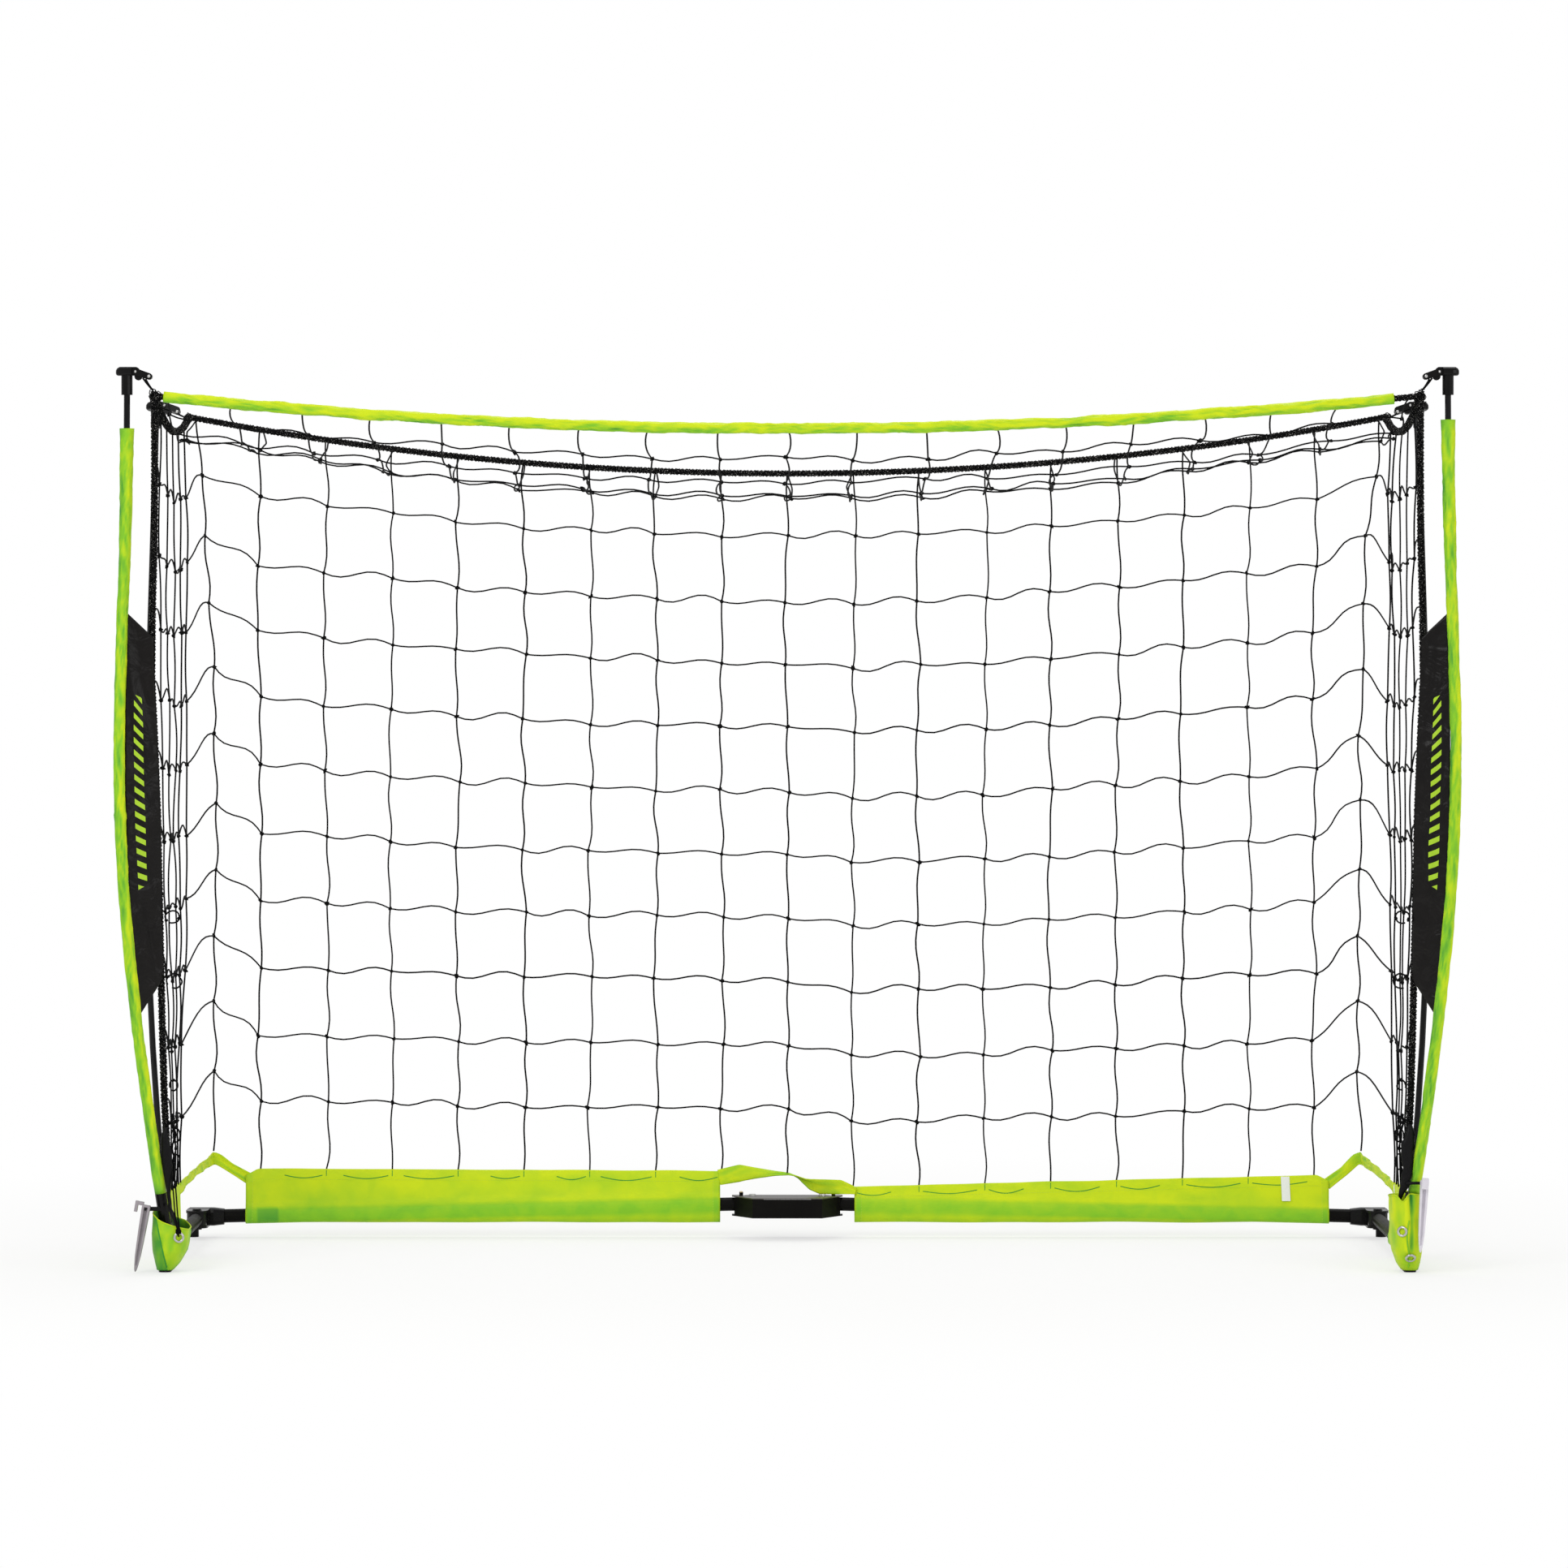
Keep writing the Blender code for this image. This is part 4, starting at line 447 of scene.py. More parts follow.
def rear_rope_z(x):
    return REAR_CORNER_Z - 0.0855 * (1 - (x / CORNER_X) ** 2)


def crossbar_z(x):
    return FRONT_CORNER_Z - 0.0465 * (1 - (x / CORNER_X) ** 2)


def slack_line(knots, hump, dip, side=(0, 1, 0), most_sway=0.0025):
    """A strand through knots that waves between them: above the straight line first, then below it."""
    line = []
    for near, far in zip(knots, knots[1:]):
        along = (far - near).normalized()
        up = along.cross(Vector(side)).normalized()
        first = hump * chance.uniform(0.4, 1.5)
        middle = dip * chance.uniform(0.2, 1.8)
        sway = chance.uniform(-most_sway, most_sway)
        for i in range(8):
            t = i / 8
            wave = first * math.sin(2 * math.pi * t) * (1 - t / 3) - middle * math.sin(math.pi * t)
            line.append(near.lerp(far, t) - up * wave + Vector(side) * sway * math.sin(math.pi * t))
    return [*line, knots[-1]]


def jittered(knot, *spreads):
    """Moves a knot by a random step along each axis."""
    return knot + Vector([chance.uniform(least, most) for least, most in spreads])


def back_knot(column, row):
    """A knot of the back net. column runs from -9 to 9, row from the skirt to the border rope."""
    side = "left" if column < 0 else "right"
    share = row / NET_ROWS
    x = 0.1 * abs(column)
    if abs(column) < 9:
        foot = skirt_top(side, max(x, SKIRT_INNER_X)) if column else 0.0975
        z = foot + (rear_rope_z(x) - foot) * share
    else:
        x = read_off(END_COLUMN_X, share)[0]
        rise = 0.028 * min(1.0, 8 * share, 6 * (1 - share))
        z = END_FOOT[1] + (rear_rope_z(x) - END_FOOT[1]) * share + rise
    knot = Vector((math.copysign(x, column), REAR_Y, z))
    if 0 < row < NET_ROWS:
        knot = jittered(knot, (-0.004, 0.004), (-0.003, 0.003), (-0.003, 0.003))
    return knot


def joined(name, items):
    """Joins plain mesh objects into one."""
    shape = bmesh.new()
    finishes = []
    for item in items:
        first = len(shape.faces)
        shape.from_mesh(item.data)
        shape.faces.ensure_lookup_table()
        finishes += [finish for finish in item.data.materials if finish not in finishes]
        slots = [finishes.index(finish) for finish in item.data.materials]
        for face in shape.faces[first:]:
            face.material_index = slots[min(face.material_index, len(slots) - 1)]
        bpy.data.objects.remove(item)
    return finished(name, shape, *finishes)


back = {(c, r): back_knot(c, r) for c in range(-9, 10) for r in range(NET_ROWS + 1)}
lines = [slack_line([back[column, r] for r in range(NET_ROWS + 1)], 0.002, 0.0015 * (-1) ** column)
         for column in range(-9, 10)]
lines += [slack_line([back[c, row] for c in range(-9, 10)], 0.005, 0.003) for row in range(1, NET_ROWS)]
knots = [back[c, r] for c in range(-9, 10) for r in range(1, NET_ROWS)]
panel = grown("back_twine", twine_group, lines, knots, strand_radius=TWINE_R, seed=11)
rope_line = [Vector((x, REAR_Y, rear_rope_z(x))) for x in evenly(-CORNER_X, CORNER_X, 100)]
rope = grown("rear_rope", rope_group, [rope_line], rope_radius=0.0045, lashing=REAR_ROPE_R)
net = joined("back_net", [panel, rope])
for part, low, high, body in (("left", -2, -0.1, "rear_bar_left"), ("centre", -0.1, 0.1, "centre_bracket"),
                              ("right", 0.1, 2, "rear_bar_right")):
    shape = bmesh.new()
    shape.from_mesh(net.data)
    gone = [face for face in shape.faces if not low <= face.calc_center_median().x < high]
    bmesh.ops.delete(shape, geom=gone, context="FACES")
    piece = finished(f"back_net_mesh_{part}", shape, *net.data.materials)
    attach(piece, body)
    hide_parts(f"back_net_{part}")
bpy.data.objects.remove(net)


# Side nets: the same twine, drawn up at the back, with the border rope along the front and the top. Their
# feet are sewn in the loops of cloth over the side arms.
SIDE_REAR_Y = REAR_Y - 0.007
ARM_HEM_Y, ARM_HEM_Z = REAR_Y - 0.380, 0.112
SIDE_LOW_X = (0.889, 0.8985, 0.9005, 0.9046, 0.9075, 0.9065)
SIDE_HIGH_X = (0.906, 0.9085, 0.9055, 0.9030, 0.9000, 0.9015)


def edge_rope_x(z):
    """The front border rope. It bows outwards behind the side banner."""
    share = min(1.0, max(0.0, (z - 0.15) / 0.75))
    return 0.8885 + (CORNER_X - 0.8885) * share**0.6 + 0.0055 * math.exp(-(((z - 0.87) / 0.13) ** 2))


def side_knot(column, row, outer_column):
    """A knot of the right side net. column runs from the front rope to the back's outer column."""
    share, up = column / 6, row / NET_ROWS
    if column == 6 and 0 < row < NET_ROWS:
        knot = outer_column[row]
        return Vector((knot.x, knot.y - 0.002, knot.z))
    y = FRONT_Y + (SIDE_REAR_Y - FRONT_Y) * share
    top = FRONT_CORNER_Z + (REAR_CORNER_Z - FRONT_CORNER_Z) * share - 0.036 * 4 * share * (1 - share)
    foot = {0: 0.150, 6: END_FOOT[1]}.get(column, ARM_HEM_Z - 0.0015)
    z = foot + (top - foot) * up
    if column == 0:
        return Vector((0.8888 if row == 0 else edge_rope_x(z), y, z))
    if column == 6:
        return Vector((CORNER_X if row else END_FOOT[0], y, z))
    x = SIDE_LOW_X[column] + (SIDE_HIGH_X[column] - SIDE_LOW_X[column]) * up
    if row == NET_ROWS:
        x = CORNER_X
    # The feet are drawn together on the arm's loop, in front of the hem.
    gather = max(0.0, 1 - up / 0.42) ** 2 * (1 + 2 * up / 0.42)
    y += (FRONT_Y + 0.045 + 0.037 * column - y) * gather
    x += (0.8900 - x) * gather
    knot = Vector((x, y, z))
    if 0 < row < NET_ROWS:
        knot = jittered(knot, (-0.002, 0.002), (-0.004, 0.004), (-0.007, 0.003))
    return knot


def stepped(line, steps):
    """A line with each of its stretches cut in even steps."""
    return [p.lerp(q, t / steps) for p, q in zip(line, line[1:]) for t in range(steps)] + [line[-1]]


for side, sign in SIDES:
    outer_column = [back[9 * sign, r] for r in range(NET_ROWS + 1)]
    grid = {(c, r): side_knot(c, r, outer_column) for c in range(7) for r in range(NET_ROWS + 1)}
    for knot in grid.values():
        knot.x = abs(knot.x) * sign
    columns = [[grid[c, r] for r in range(NET_ROWS + 1)] for c in range(6)]
    rows = [[grid[c, r] for c in range(7)] for r in range(1, NET_ROWS + 1)]
    lines = [slack_line(column, 0.0015, 0.001, (1, 0, 0)) for column in columns[1:]]
    lines += [slack_line(row, 0.004, 0.009, (-1, 0, 0)) for row in rows[:-1]]
    knots = [grid[c, r] for c in range(1, 6) for r in range(1, NET_ROWS)]
    mesh = grown("side_twine", twine_group, lines, knots, strand_radius=TWINE_R, seed=21 + sign)
    edges = [stepped(columns[0], 6), stepped(rows[-1], 5)]
    ropes = grown("side_ropes", rope_group, edges, rope_radius=0.0050, lashing=ROPE_R)
    part = joined(f"side_net_mesh_{side}", [mesh, ropes])
    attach(part, f"arm_{side}")
    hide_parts(f"side_net_{side}")


# Roof net: five rows of the same twine from the crossbar to the rear rope. It hangs slack between them,
# lowest at the back.
ROOF_DROPS = (0, 0.030, 0.053, 0.058, 0.052, 0)
ROOF_ROWS = len(ROOF_DROPS) - 1
ROOF_END_X = CORNER_X - 0.012
ROOF_FRONT_Y, ROOF_REAR_Y = FRONT_Y + 0.010, REAR_Y - ROPE_R - 0.0015


def roof_knot(column, row):
    share = row / ROOF_ROWS
    x = ROOF_END_X * column / 9
    drop = ROOF_DROPS[row] * (1 - 0.28 * (x / ROOF_END_X) ** 2)
    z = crossbar_z(x) + (rear_rope_z(x) - crossbar_z(x)) * share - drop
    knot = Vector((x, ROOF_FRONT_Y + (ROOF_REAR_Y - ROOF_FRONT_Y) * share, z))
    if 0 < row < ROOF_ROWS:
        knot = jittered(knot, (-0.006, 0.006), (-0.006, 0.006), (-0.004, 0.003))
    return knot


grid = {(c, r): roof_knot(c, r) for c in range(-9, 10) for r in range(ROOF_ROWS + 1)}
lines = [slack_line([grid[c, r] for r in range(ROOF_ROWS + 1)], 0.003, 0.003, (1, 0, 0), 0.009)
         for c in range(-9, 10)]
lines += [slack_line([grid[c, r] for c in range(-9, 10)], 0.004, 0.002) for r in range(1, ROOF_ROWS)]
knots = [grid[c, r] for c in range(-9, 10) for r in range(1, ROOF_ROWS + 1)]
roof = grown("roof_net_mesh", twine_group, lines, knots, strand_radius=TWINE_R, seed=31)
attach(roof, "arm_left")
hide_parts("roof_net")
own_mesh(roof)


# Crossbar: a braided rope in a gathered sleeve of lime polyester. The sleeve is longer than the rope, so
# it lies in creases; bare rope shows at both ends, where it is knotted to the net's front corners.
def cloth_material(name):
    """A new material with its tree, its object coordinates and the axes of the cloth's flat map."""
    made = bpy.data.materials.new(name)
    tree = bare_tree(made)
    axes = add(tree, "SeparateXYZ", {0: add(tree, "UVMap", uv_map="cloth")}).outputs
    return made, tree, add(tree, "TexCoord").outputs["Object"], axes


# Thin coated cloth, with a soft shine. Each point's shade is painted light and shade: it runs the colour
# from a lit yellow, a painted highlight on the ridges, to a shaded green, painted shade in the folds and
# where something dark lies behind the cloth. Its real 0.5 mm weave is drawn wider, so that it shows.
THREAD_DRAWN = 0.0012
lime, tree, place, axes = cloth_material("coated_lime_polyester")
threads = []
for axis in "XY":
    angle = add(tree, "Math", {0: axes[axis], 1: 2 * math.pi / THREAD_DRAWN}, operation="MULTIPLY")
    threads.append(add(tree, "Math", {0: angle}, operation="SINE"))
woven = add(tree, "Math", {0: threads[0], 1: threads[1]}, operation="MULTIPLY")
depth = add(tree, "Attribute", attribute_name="shade").outputs["Fac"]
mottle = add(tree, "TexNoise", {"Vector": place, "Scale": 38, "Detail": 3, "Distortion": 0.4})
uneven = add(tree, "Math", {0: mottle, 1: 0.36, 2: -0.18}, operation="MULTIPLY_ADD")
ramp = add(tree, "ValToRGB", {0: add(tree, "Math", {0: depth, 1: uneven}, operation="ADD", use_clamp=True)})
ramp.color_ramp.elements[0].color = linear("CDE012")
ramp.color_ramp.elements[1].color = linear("389234")
ramp.color_ramp.elements.new(0.5).color = linear("86C524")
bump = add(tree, "Bump", {"Height": woven, "Strength": 0.16, "Distance": 0.0003})
shader = add(tree, "BsdfPrincipled", {
    "Base Color": ramp, "Normal": bump, "Roughness": 0.52, "Specular IOR Level": 0.2,
    "Sheen Weight": 0.06, "Sheen Roughness": 0.4, "Sheen Tint": linear("F4F7B0"),
})
add(tree, "OutputMaterial", {"Surface": shader})


def lengths(line):
    """How far along a line each of its points lies."""
    reach = [0.0]
    for near, far in zip(line, line[1:]):
        reach.append(reach[-1] + (far - near).length)
    return reach


def heading(line, i):
    """The direction of a line at one of its points."""
    return (line[min(i + 1, len(line) - 1)] - line[max(i - 1, 0)]).normalized()


def skin(shape, rows, closed, ends="open"):
    """Faces through rows of points. closed rows are rings. The end rows are open, capped or joined."""
    verts = [[shape.verts.new(point) for point in row] for row in rows]
    count = len(rows[0])
    for low, high in zip(verts, verts[1:] + (verts[:1] if ends == "joined" else [])):
        for j in range(count if closed else count - 1):
            k = (j + 1) % count
            shape.faces.new((low[j], high[j], high[k], low[k]))
    if ends == "capped":
        shape.faces.new(verts[0])
        shape.faces.new(verts[-1])
    return verts


def cloth(name, rows, closed, thick, finish, outward=None, offset=-1):
    """A sheet through rows of (point, shade). It keeps a flat map in metres and each point's shade."""
    shape = bmesh.new()
    flat_map = shape.loops.layers.uv.new("cloth")
    shade_of = shape.verts.layers.float.new("shade")
    points = [[point for point, _ in row] for row in rows]
    for line, row in zip(skin(shape, points, closed), rows):
        for vert, (_, shade) in zip(line, row):
            vert[shade_of] = shade
    count = len(points[0])
    middle = count // 2
    widest = max(points, key=lambda row: (row[0] - row[middle]).length)
    us, vs = lengths([row[middle] for row in points]), lengths([*widest, widest[0]])
    for number, face in enumerate(shape.faces):
        i, j = divmod(number, count if closed else count - 1)
        for loop, (a, b) in zip(face.loops, ((i, j), (i + 1, j), (i + 1, j + 1), (i, j + 1))):
            loop[flat_map].uv = (us[a], vs[b])
    if outward:
        shape.normal_update()
        if sum(face.normal.dot(Vector(outward)) for face in shape.faces) < 0:
            bmesh.ops.reverse_faces(shape, faces=shape.faces)
    else:
        bmesh.ops.recalc_face_normals(shape, faces=shape.faces)
    item = finished(name, shape, finish, smooth=True)
    if thick:
        wall = item.modifiers.new("wall", "SOLIDIFY")
        wall.thickness, wall.offset = thick, offset
        settle(item)
    return item


def wave_at(x, y, z):
    """Soft waves from -1 to 1."""
    return noise.noise(Vector((x, y, z)))


def round_turn(count):
    """The angles of even steps round a full turn."""
    return evenly(0, 2 * math.pi, count)[:-1]


def crease(x, y, z, seed):
    """Sharp-edged folds from -1 to 1, as cloth creases."""
    here = wave_at(x, y, z + 17.3 * seed)
    fine = wave_at(2.3 * x + 5, 2.3 * y, 2.3 * z + 9.1 * seed)
    return 1 - 2.6 * abs(here) + 0.5 * fine


def sleeve(name, centres, radius, depth, seed, shade):
    """A cloth tube round a line of centres, creased all over except at its hems."""
    rows, reach = [], lengths(centres)
    for i, (centre, s) in enumerate(zip(centres, reach)):
        along = heading(centres, i)
        across = along.cross(Vector((0, -1, 0.3))).normalized()
        other = along.cross(across)
        slack = min(1.0, max(0.0, min(s, reach[-1] - s) / 0.012 - 0.6))
        row = []
        for a in round_turn(22):
            fold = crease(2.1 * math.cos(a) + 34 * s, 2.1 * math.sin(a) - 12 * s, 26 * s, seed)
            wide = wave_at(15 * s, math.cos(a), math.sin(a) + seed)
            r = radius + slack * depth * (0.55 * fold + 0.9 * wide) - 0.4 * depth * slack
            spoke = across * math.cos(a) + other * math.sin(a)
            # Painted shade: darker in the creases and broad hollows, with a painted highlight on the side
            # that faces up and to the right, towards the light.
            tone = shade - slack * (0.26 * fold + 0.35 * wide) - 0.34 * spoke.dot(Vector((0.6, 0, 0.8)))
            row.append((centre + spoke * r, tone))
        rows.append(row)
    return cloth(name, rows, True, 0.0005, lime)


# The sleeve has slipped a little to the left, so that more rope shows at the right.
CROSSBAR_FIRST, CROSSBAR_LAST, CROSSBAR_R = -0.893, 0.868, 0.0079
centres = []
for x in evenly(CROSSBAR_FIRST, CROSSBAR_LAST, 430):
    wander = min(1.0, 8 * min(x - CROSSBAR_FIRST, CROSSBAR_LAST - x))
    lift = 0.0015 * wave_at(24 * x, 3, 1) * wander
    push = 0.0010 * wave_at(30 * x, 8, 5) * wander
    centres.append(Vector((x, FRONT_Y + push, crossbar_z(x) + lift)))
cover = sleeve("crossbar_sleeve", centres, CROSSBAR_R, 0.0019, 2, 0.30)
ends = []
for first, last in ((-0.882, -CORNER_X), (0.860, CORNER_X)):
    ends.append([Vector((x, FRONT_Y, crossbar_z(x))) for x in evenly(first, last, 12)])
bare = grown("crossbar_rope", rope_group, ends, rope_radius=0.0045, lashing=0.0052)
for piece in (cover, bare):
    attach(piece, "arm_left")
    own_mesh(piece)
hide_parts("crossbar")


# Front sleeves: lime polyester tubes over the bowed front rods, from the socket to an open, stitched
# hem just under the T cap. The right one reaches a little higher on its rod.
FRONT_FOOT, FRONT_AXIS = Vector((0.893, FRONT_Y, 0.072)), Vector((0.140, -0.127, 1)).normalized()
UP = Vector((0, 0, 1))
SLEEVE_HEMS = {"left": 1.2125, "right": 1.223}
SLEEVE_R = 0.0083
rod_low = FRONT_FOOT + FRONT_AXIS * 0.050
rod_high = Vector((0.9455, FRONT_Y, 1.2845)) - UP * 0.0315
rod_bend = (rod_low, rod_low + FRONT_AXIS * 0.62, rod_high - UP * 0.46, rod_high)

sleeve_line = [FRONT_FOOT + FRONT_AXIS * 0.0424]
for step in range(1250):
    t = 0.0008 * step
    a, b, c, d = rod_bend
    point = (1 - t) ** 3 * a + 3 * (1 - t) ** 2 * t * b + 3 * (1 - t) * t**2 * c + t**3 * d
    if point.z > sleeve_line[-1].z + 0.004:
        sleeve_line.append(point)
    if point.z > 1.222:
        break


def sleeve_at(z):
    """The right sleeve's middle at a height."""
    return min(sleeve_line, key=lambda point: abs(point.z - z))


def mirrored(point, sign):
    """A point that is given for the right side, on the side of a sign."""
    return Vector((point.x * sign, point.y, point.z))


for side, sign in SIDES:
    hem = SLEEVE_HEMS[side]
    line = [mirrored(point, sign) for point in sleeve_line if point.z < hem]
    cover = sleeve(f"front_sleeve_cloth_{side}", line, SLEEVE_R, 0.0011, 4 + sign, 0.52)
    for vert in cover.data.vertices:
        z = vert.co.z
        near = sleeve_at(z)
        middle = Vector((near.x * sign, near.y, z))
        flare = 1 + 0.20 * min(1.0, max(0.0, (z - 0.96) / 0.22)) + 0.10 * max(0.0, (z - hem + 0.020) / 0.019)
        joint = 0.0016 * math.exp(-(((z - 0.655) / 0.005) ** 2)) if side == "left" else 0
        out = vert.co - middle
        vert.co = middle + out * flare + out.normalized() * joint
    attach(cover, f"front_pole_{side}")
    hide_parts(f"front_sleeve_{side}")


# Side banners: crumpled black satin panels, from the front sleeve to the front border rope, which they
# cover. Plain slanted lime stripes are printed in the middle.
STRIPE_PITCH, STRIPE_WIDTH = 0.017, 0.0075
RIB_DRAWN = 0.0009
satin, tree, place, axes = cloth_material("black_satin_polyester")
# Satin floats run along the panel, and stretch its highlights. Their real 0.3 mm ribs are drawn wider.
rib = add(tree, "Math", {0: axes["Y"], 1: 2 * math.pi / RIB_DRAWN}, operation="MULTIPLY")
ribs = add(tree, "Math", {0: rib}, operation="SINE")
slant = add(tree, "Math", {0: axes["Y"], 1: 0.62, 2: axes["X"]}, operation="MULTIPLY_ADD")
steps = add(tree, "Math", {0: slant, 1: STRIPE_PITCH}, operation="MODULO")
inks = add(tree, "Math", {0: steps, 1: STRIPE_WIDTH}, operation="LESS_THAN")
for axis, limit, test in (("X", 0.160, "GREATER_THAN"), ("X", 0.430, "LESS_THAN"),
                          ("Y", 0.017, "GREATER_THAN"), ("Y", 0.034, "LESS_THAN")):
    inside = add(tree, "Math", {0: axes[axis], 1: limit}, operation=test)
    inks = add(tree, "Math", {0: inks, 1: inside}, operation="MULTIPLY")
cloudy = add(tree, "TexNoise", {"Vector": place, "Scale": 30, "Detail": 3})
black = add(tree, "MixRGB", {0: cloudy, 1: linear("070606"), 2: linear("151211")})
tone = add(tree, "MixRGB", {0: inks, 1: black, 2: linear("A9CF33")})
bump = add(tree, "Bump", {"Height": ribs, "Strength": 0.12, "Distance": 0.0002})
crumple = add(tree, "TexNoise", {"Vector": place, "Scale": 26, "Detail": 3, "Distortion": 0.8})
bump = add(tree, "Bump", {"Height": crumple, "Strength": 0.5, "Distance": 0.010, "Normal": bump})
shader = add(tree, "BsdfPrincipled", {
    "Base Color": tone, "Normal": bump, "Roughness": 0.30, "Specular IOR Level": 0.18, "Anisotropic": 0.4,
})
add(tree, "OutputMaterial", {"Surface": shader})

for side, sign in SIDES:
    rows = []
    for share in evenly(0, 1, 120):
        z_out, z_in = 0.363 + 0.588 * share, 0.416 + 0.497 * share
        pole = sleeve_at(z_out)
        outer = Vector((pole.x, pole.y, z_out))
        inner = Vector((edge_rope_x(z_in), FRONT_Y - 0.0088, z_in))
        towards = (inner - outer).normalized()
        outer += towards * 0.0086
        inner += towards * 0.0055
        facing = Vector((-towards.y, towards.x, 0)).normalized()
        row = []
        for across in evenly(0, 1, 16):
            loose = math.sin(math.pi * across) * math.sin(math.pi * share) ** 0.3
            fold = wave_at(7 * share + 3 * across, 2.4 * across, 3.7 * sign)
            fine = crease(5 * share, 3 * across + 4 * share, 1.1, sign)
            point = outer.lerp(inner, across) + facing * loose * (0.0055 * fold + 0.0010 * fine)
            row.append((mirrored(point, sign), 0.0))
        rows.append(row)
    panel = cloth(f"banner_cloth_{side}", rows, False, 0.0008, satin, (0, -1, 0), offset=0)
    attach(panel, f"arm_{side}")
    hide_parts(f"banner_{side}")


# Skirt: loops of thin lime polyester over the two halves of the rear bar, stitched under the top edge
# and down both ends. Painted shade darkens the cloth where the dark bar lies behind it, and along the net's
# foot in the top hem.
# The thread is matt, and duller than the cloth.
thread = material("polyester_thread", ("A7CC33", "C9DE4E"), patches=(800, 1), rough=0.6)

tree, given = node_group(
    "stitches", {"Pitch": 0.0040, "Stitch length": 0.0027, "Thread": 0.00055, "Material": thread}
)
line = add(tree, "GeometryNodeMeshToCurve", {"Mesh": given["Geometry"]})
spots = add(tree, "GeometryNodeResampleCurve", {"Curve": line, "Length": given["Pitch"]}, mode="LENGTH")
along = add(tree, "GeometryNodeInputTangent")
aligned = add(tree, "FunctionNodeAlignRotationToVector", {"Vector": along}, axis="X")
ball = add(tree, "GeometryNodeMeshUVSphere", {"Segments": 6, "Rings": 4, "Radius": 0.5})
size = add(tree, "CombineXYZ", {0: given["Stitch length"], 1: given["Thread"], 2: given["Thread"]})
sewn = add(tree, "GeometryNodeInstanceOnPoints",
           {"Points": spots, "Instance": ball, "Rotation": aligned, "Scale": size})
stitch_group = close(tree, [sewn], given["Material"])


def bar_z(x):
    return 0.0505 + (0.031 - 0.0505) * (x - 0.053) / (0.893 - 0.053)


def loop_outline(tube_z, foot, top, half=0.0122):
    """A cloth loop's outline, as (side, z, half width): up one side to its stitched top edge, and down."""
    low = min(foot, tube_z - half)
    halves = [
        (low, 0.0028),
        (low + 0.0012, 0.0052),
        (0.45 * low + 0.55 * (tube_z - 0.0085), 0.0098),
        (tube_z - 0.0085, half - 0.0006),
        (tube_z - 0.004, half),
        (tube_z + 0.004, half),
        (tube_z + 0.0085, 0.85 * half),
        (tube_z + 0.014, 0.48 * half),
        (tube_z + 0.022, 0.0031),
        (0.4 * (tube_z + 0.022) + 0.6 * top, 0.0026),
        (top - 0.0012, 0.0023),
        (top, 0.0014),
    ]
    return [(-1, *pair) for pair in halves] + [(1, *pair) for pair in halves[::-1]]


def pressed(item, points, direction, proud):
    """Lays points on a piece's surface: each one is moved along direction until it meets the piece."""
    bpy.context.view_layer.update()
    direction = Vector(direction).normalized()
    placed = []
    for point in points:
        hit, place, _, _ = item.ray_cast(Vector(point) - direction * 0.06, direction)
        if hit:
            placed.append(place - direction * proud)
    return placed


def shaded(item, shade):
    """Gives a plain mesh one shade of the lime cloth all over."""
    values = item.data.attributes.new("shade", "FLOAT", "POINT")
    values.data.foreach_set("value", [shade] * len(item.data.vertices))


for side, sign in SIDES:
    rows = []
    for x in evenly(SKIRT_INNER_X, SKIRT_OUTER_X, 180):
        near_end = min(x - SKIRT_INNER_X, SKIRT_OUTER_X - x)
        top = skirt_top(side, x) + 0.0009 * wave_at(14 * x, 0, sign)
        if x > SKIRT_OUTER_X - 0.018:
            top -= 0.55 * (x - SKIRT_OUTER_X + 0.018)
        foot = 0.0225 + 0.0010 * wave_at(9 * x, 5, sign)
        loose = min(1.0, 0.25 + near_end / 0.02)
        hem = 0.10 if near_end < 0.011 else 0.0
        # Painted shade where the dark bar lies behind the cloth. It is deeper over a short stretch near the
        # left flap's outer end, where another dark part lies behind it.
        patch = 0.30 if side == "left" and 0.772 < x < 0.806 else 0.0
        through = 0.0 if near_end < 0.002 else 0.26 + patch
        row = []
        for face, z, half in loop_outline(bar_z(x), foot, top):
            soft = 1.0 if z > bar_z(x) + 0.012 else 0.25
            wave = wave_at(13 * x + 40 * z, 30 * z, 3 * sign + face)
            fold = crease(16 * x + 30 * z, 42 * z, 2.0, sign + face)
            lift = max(0.0, loose * soft * (0.0016 * wave + 0.0007 * fold) + 0.0006)
            behind = max(0.0, 1 - (abs(z - bar_z(x)) / 0.0125) ** 6)
            low = max(0.0, (top - 0.018 - z) / (top - foot))
            # The tone is painted shade. It is deeper towards the bottom and where the bar lies behind. It is
            # lighter on the bulges of the folds and darker in their hollows, and a little darker at the end
            # hems.
            tone = 0.06 + 0.30 * low + behind * through + hem - 0.24 * wave * soft
            row.append((Vector((x * sign, REAR_Y + face * (half + lift), z)), tone))
        rows.append(row)
    flap = cloth(f"skirt_cloth_{side}", rows, True, 0.0005, lime)
    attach(flap, f"rear_bar_{side}")
    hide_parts(f"skirt_{side}")

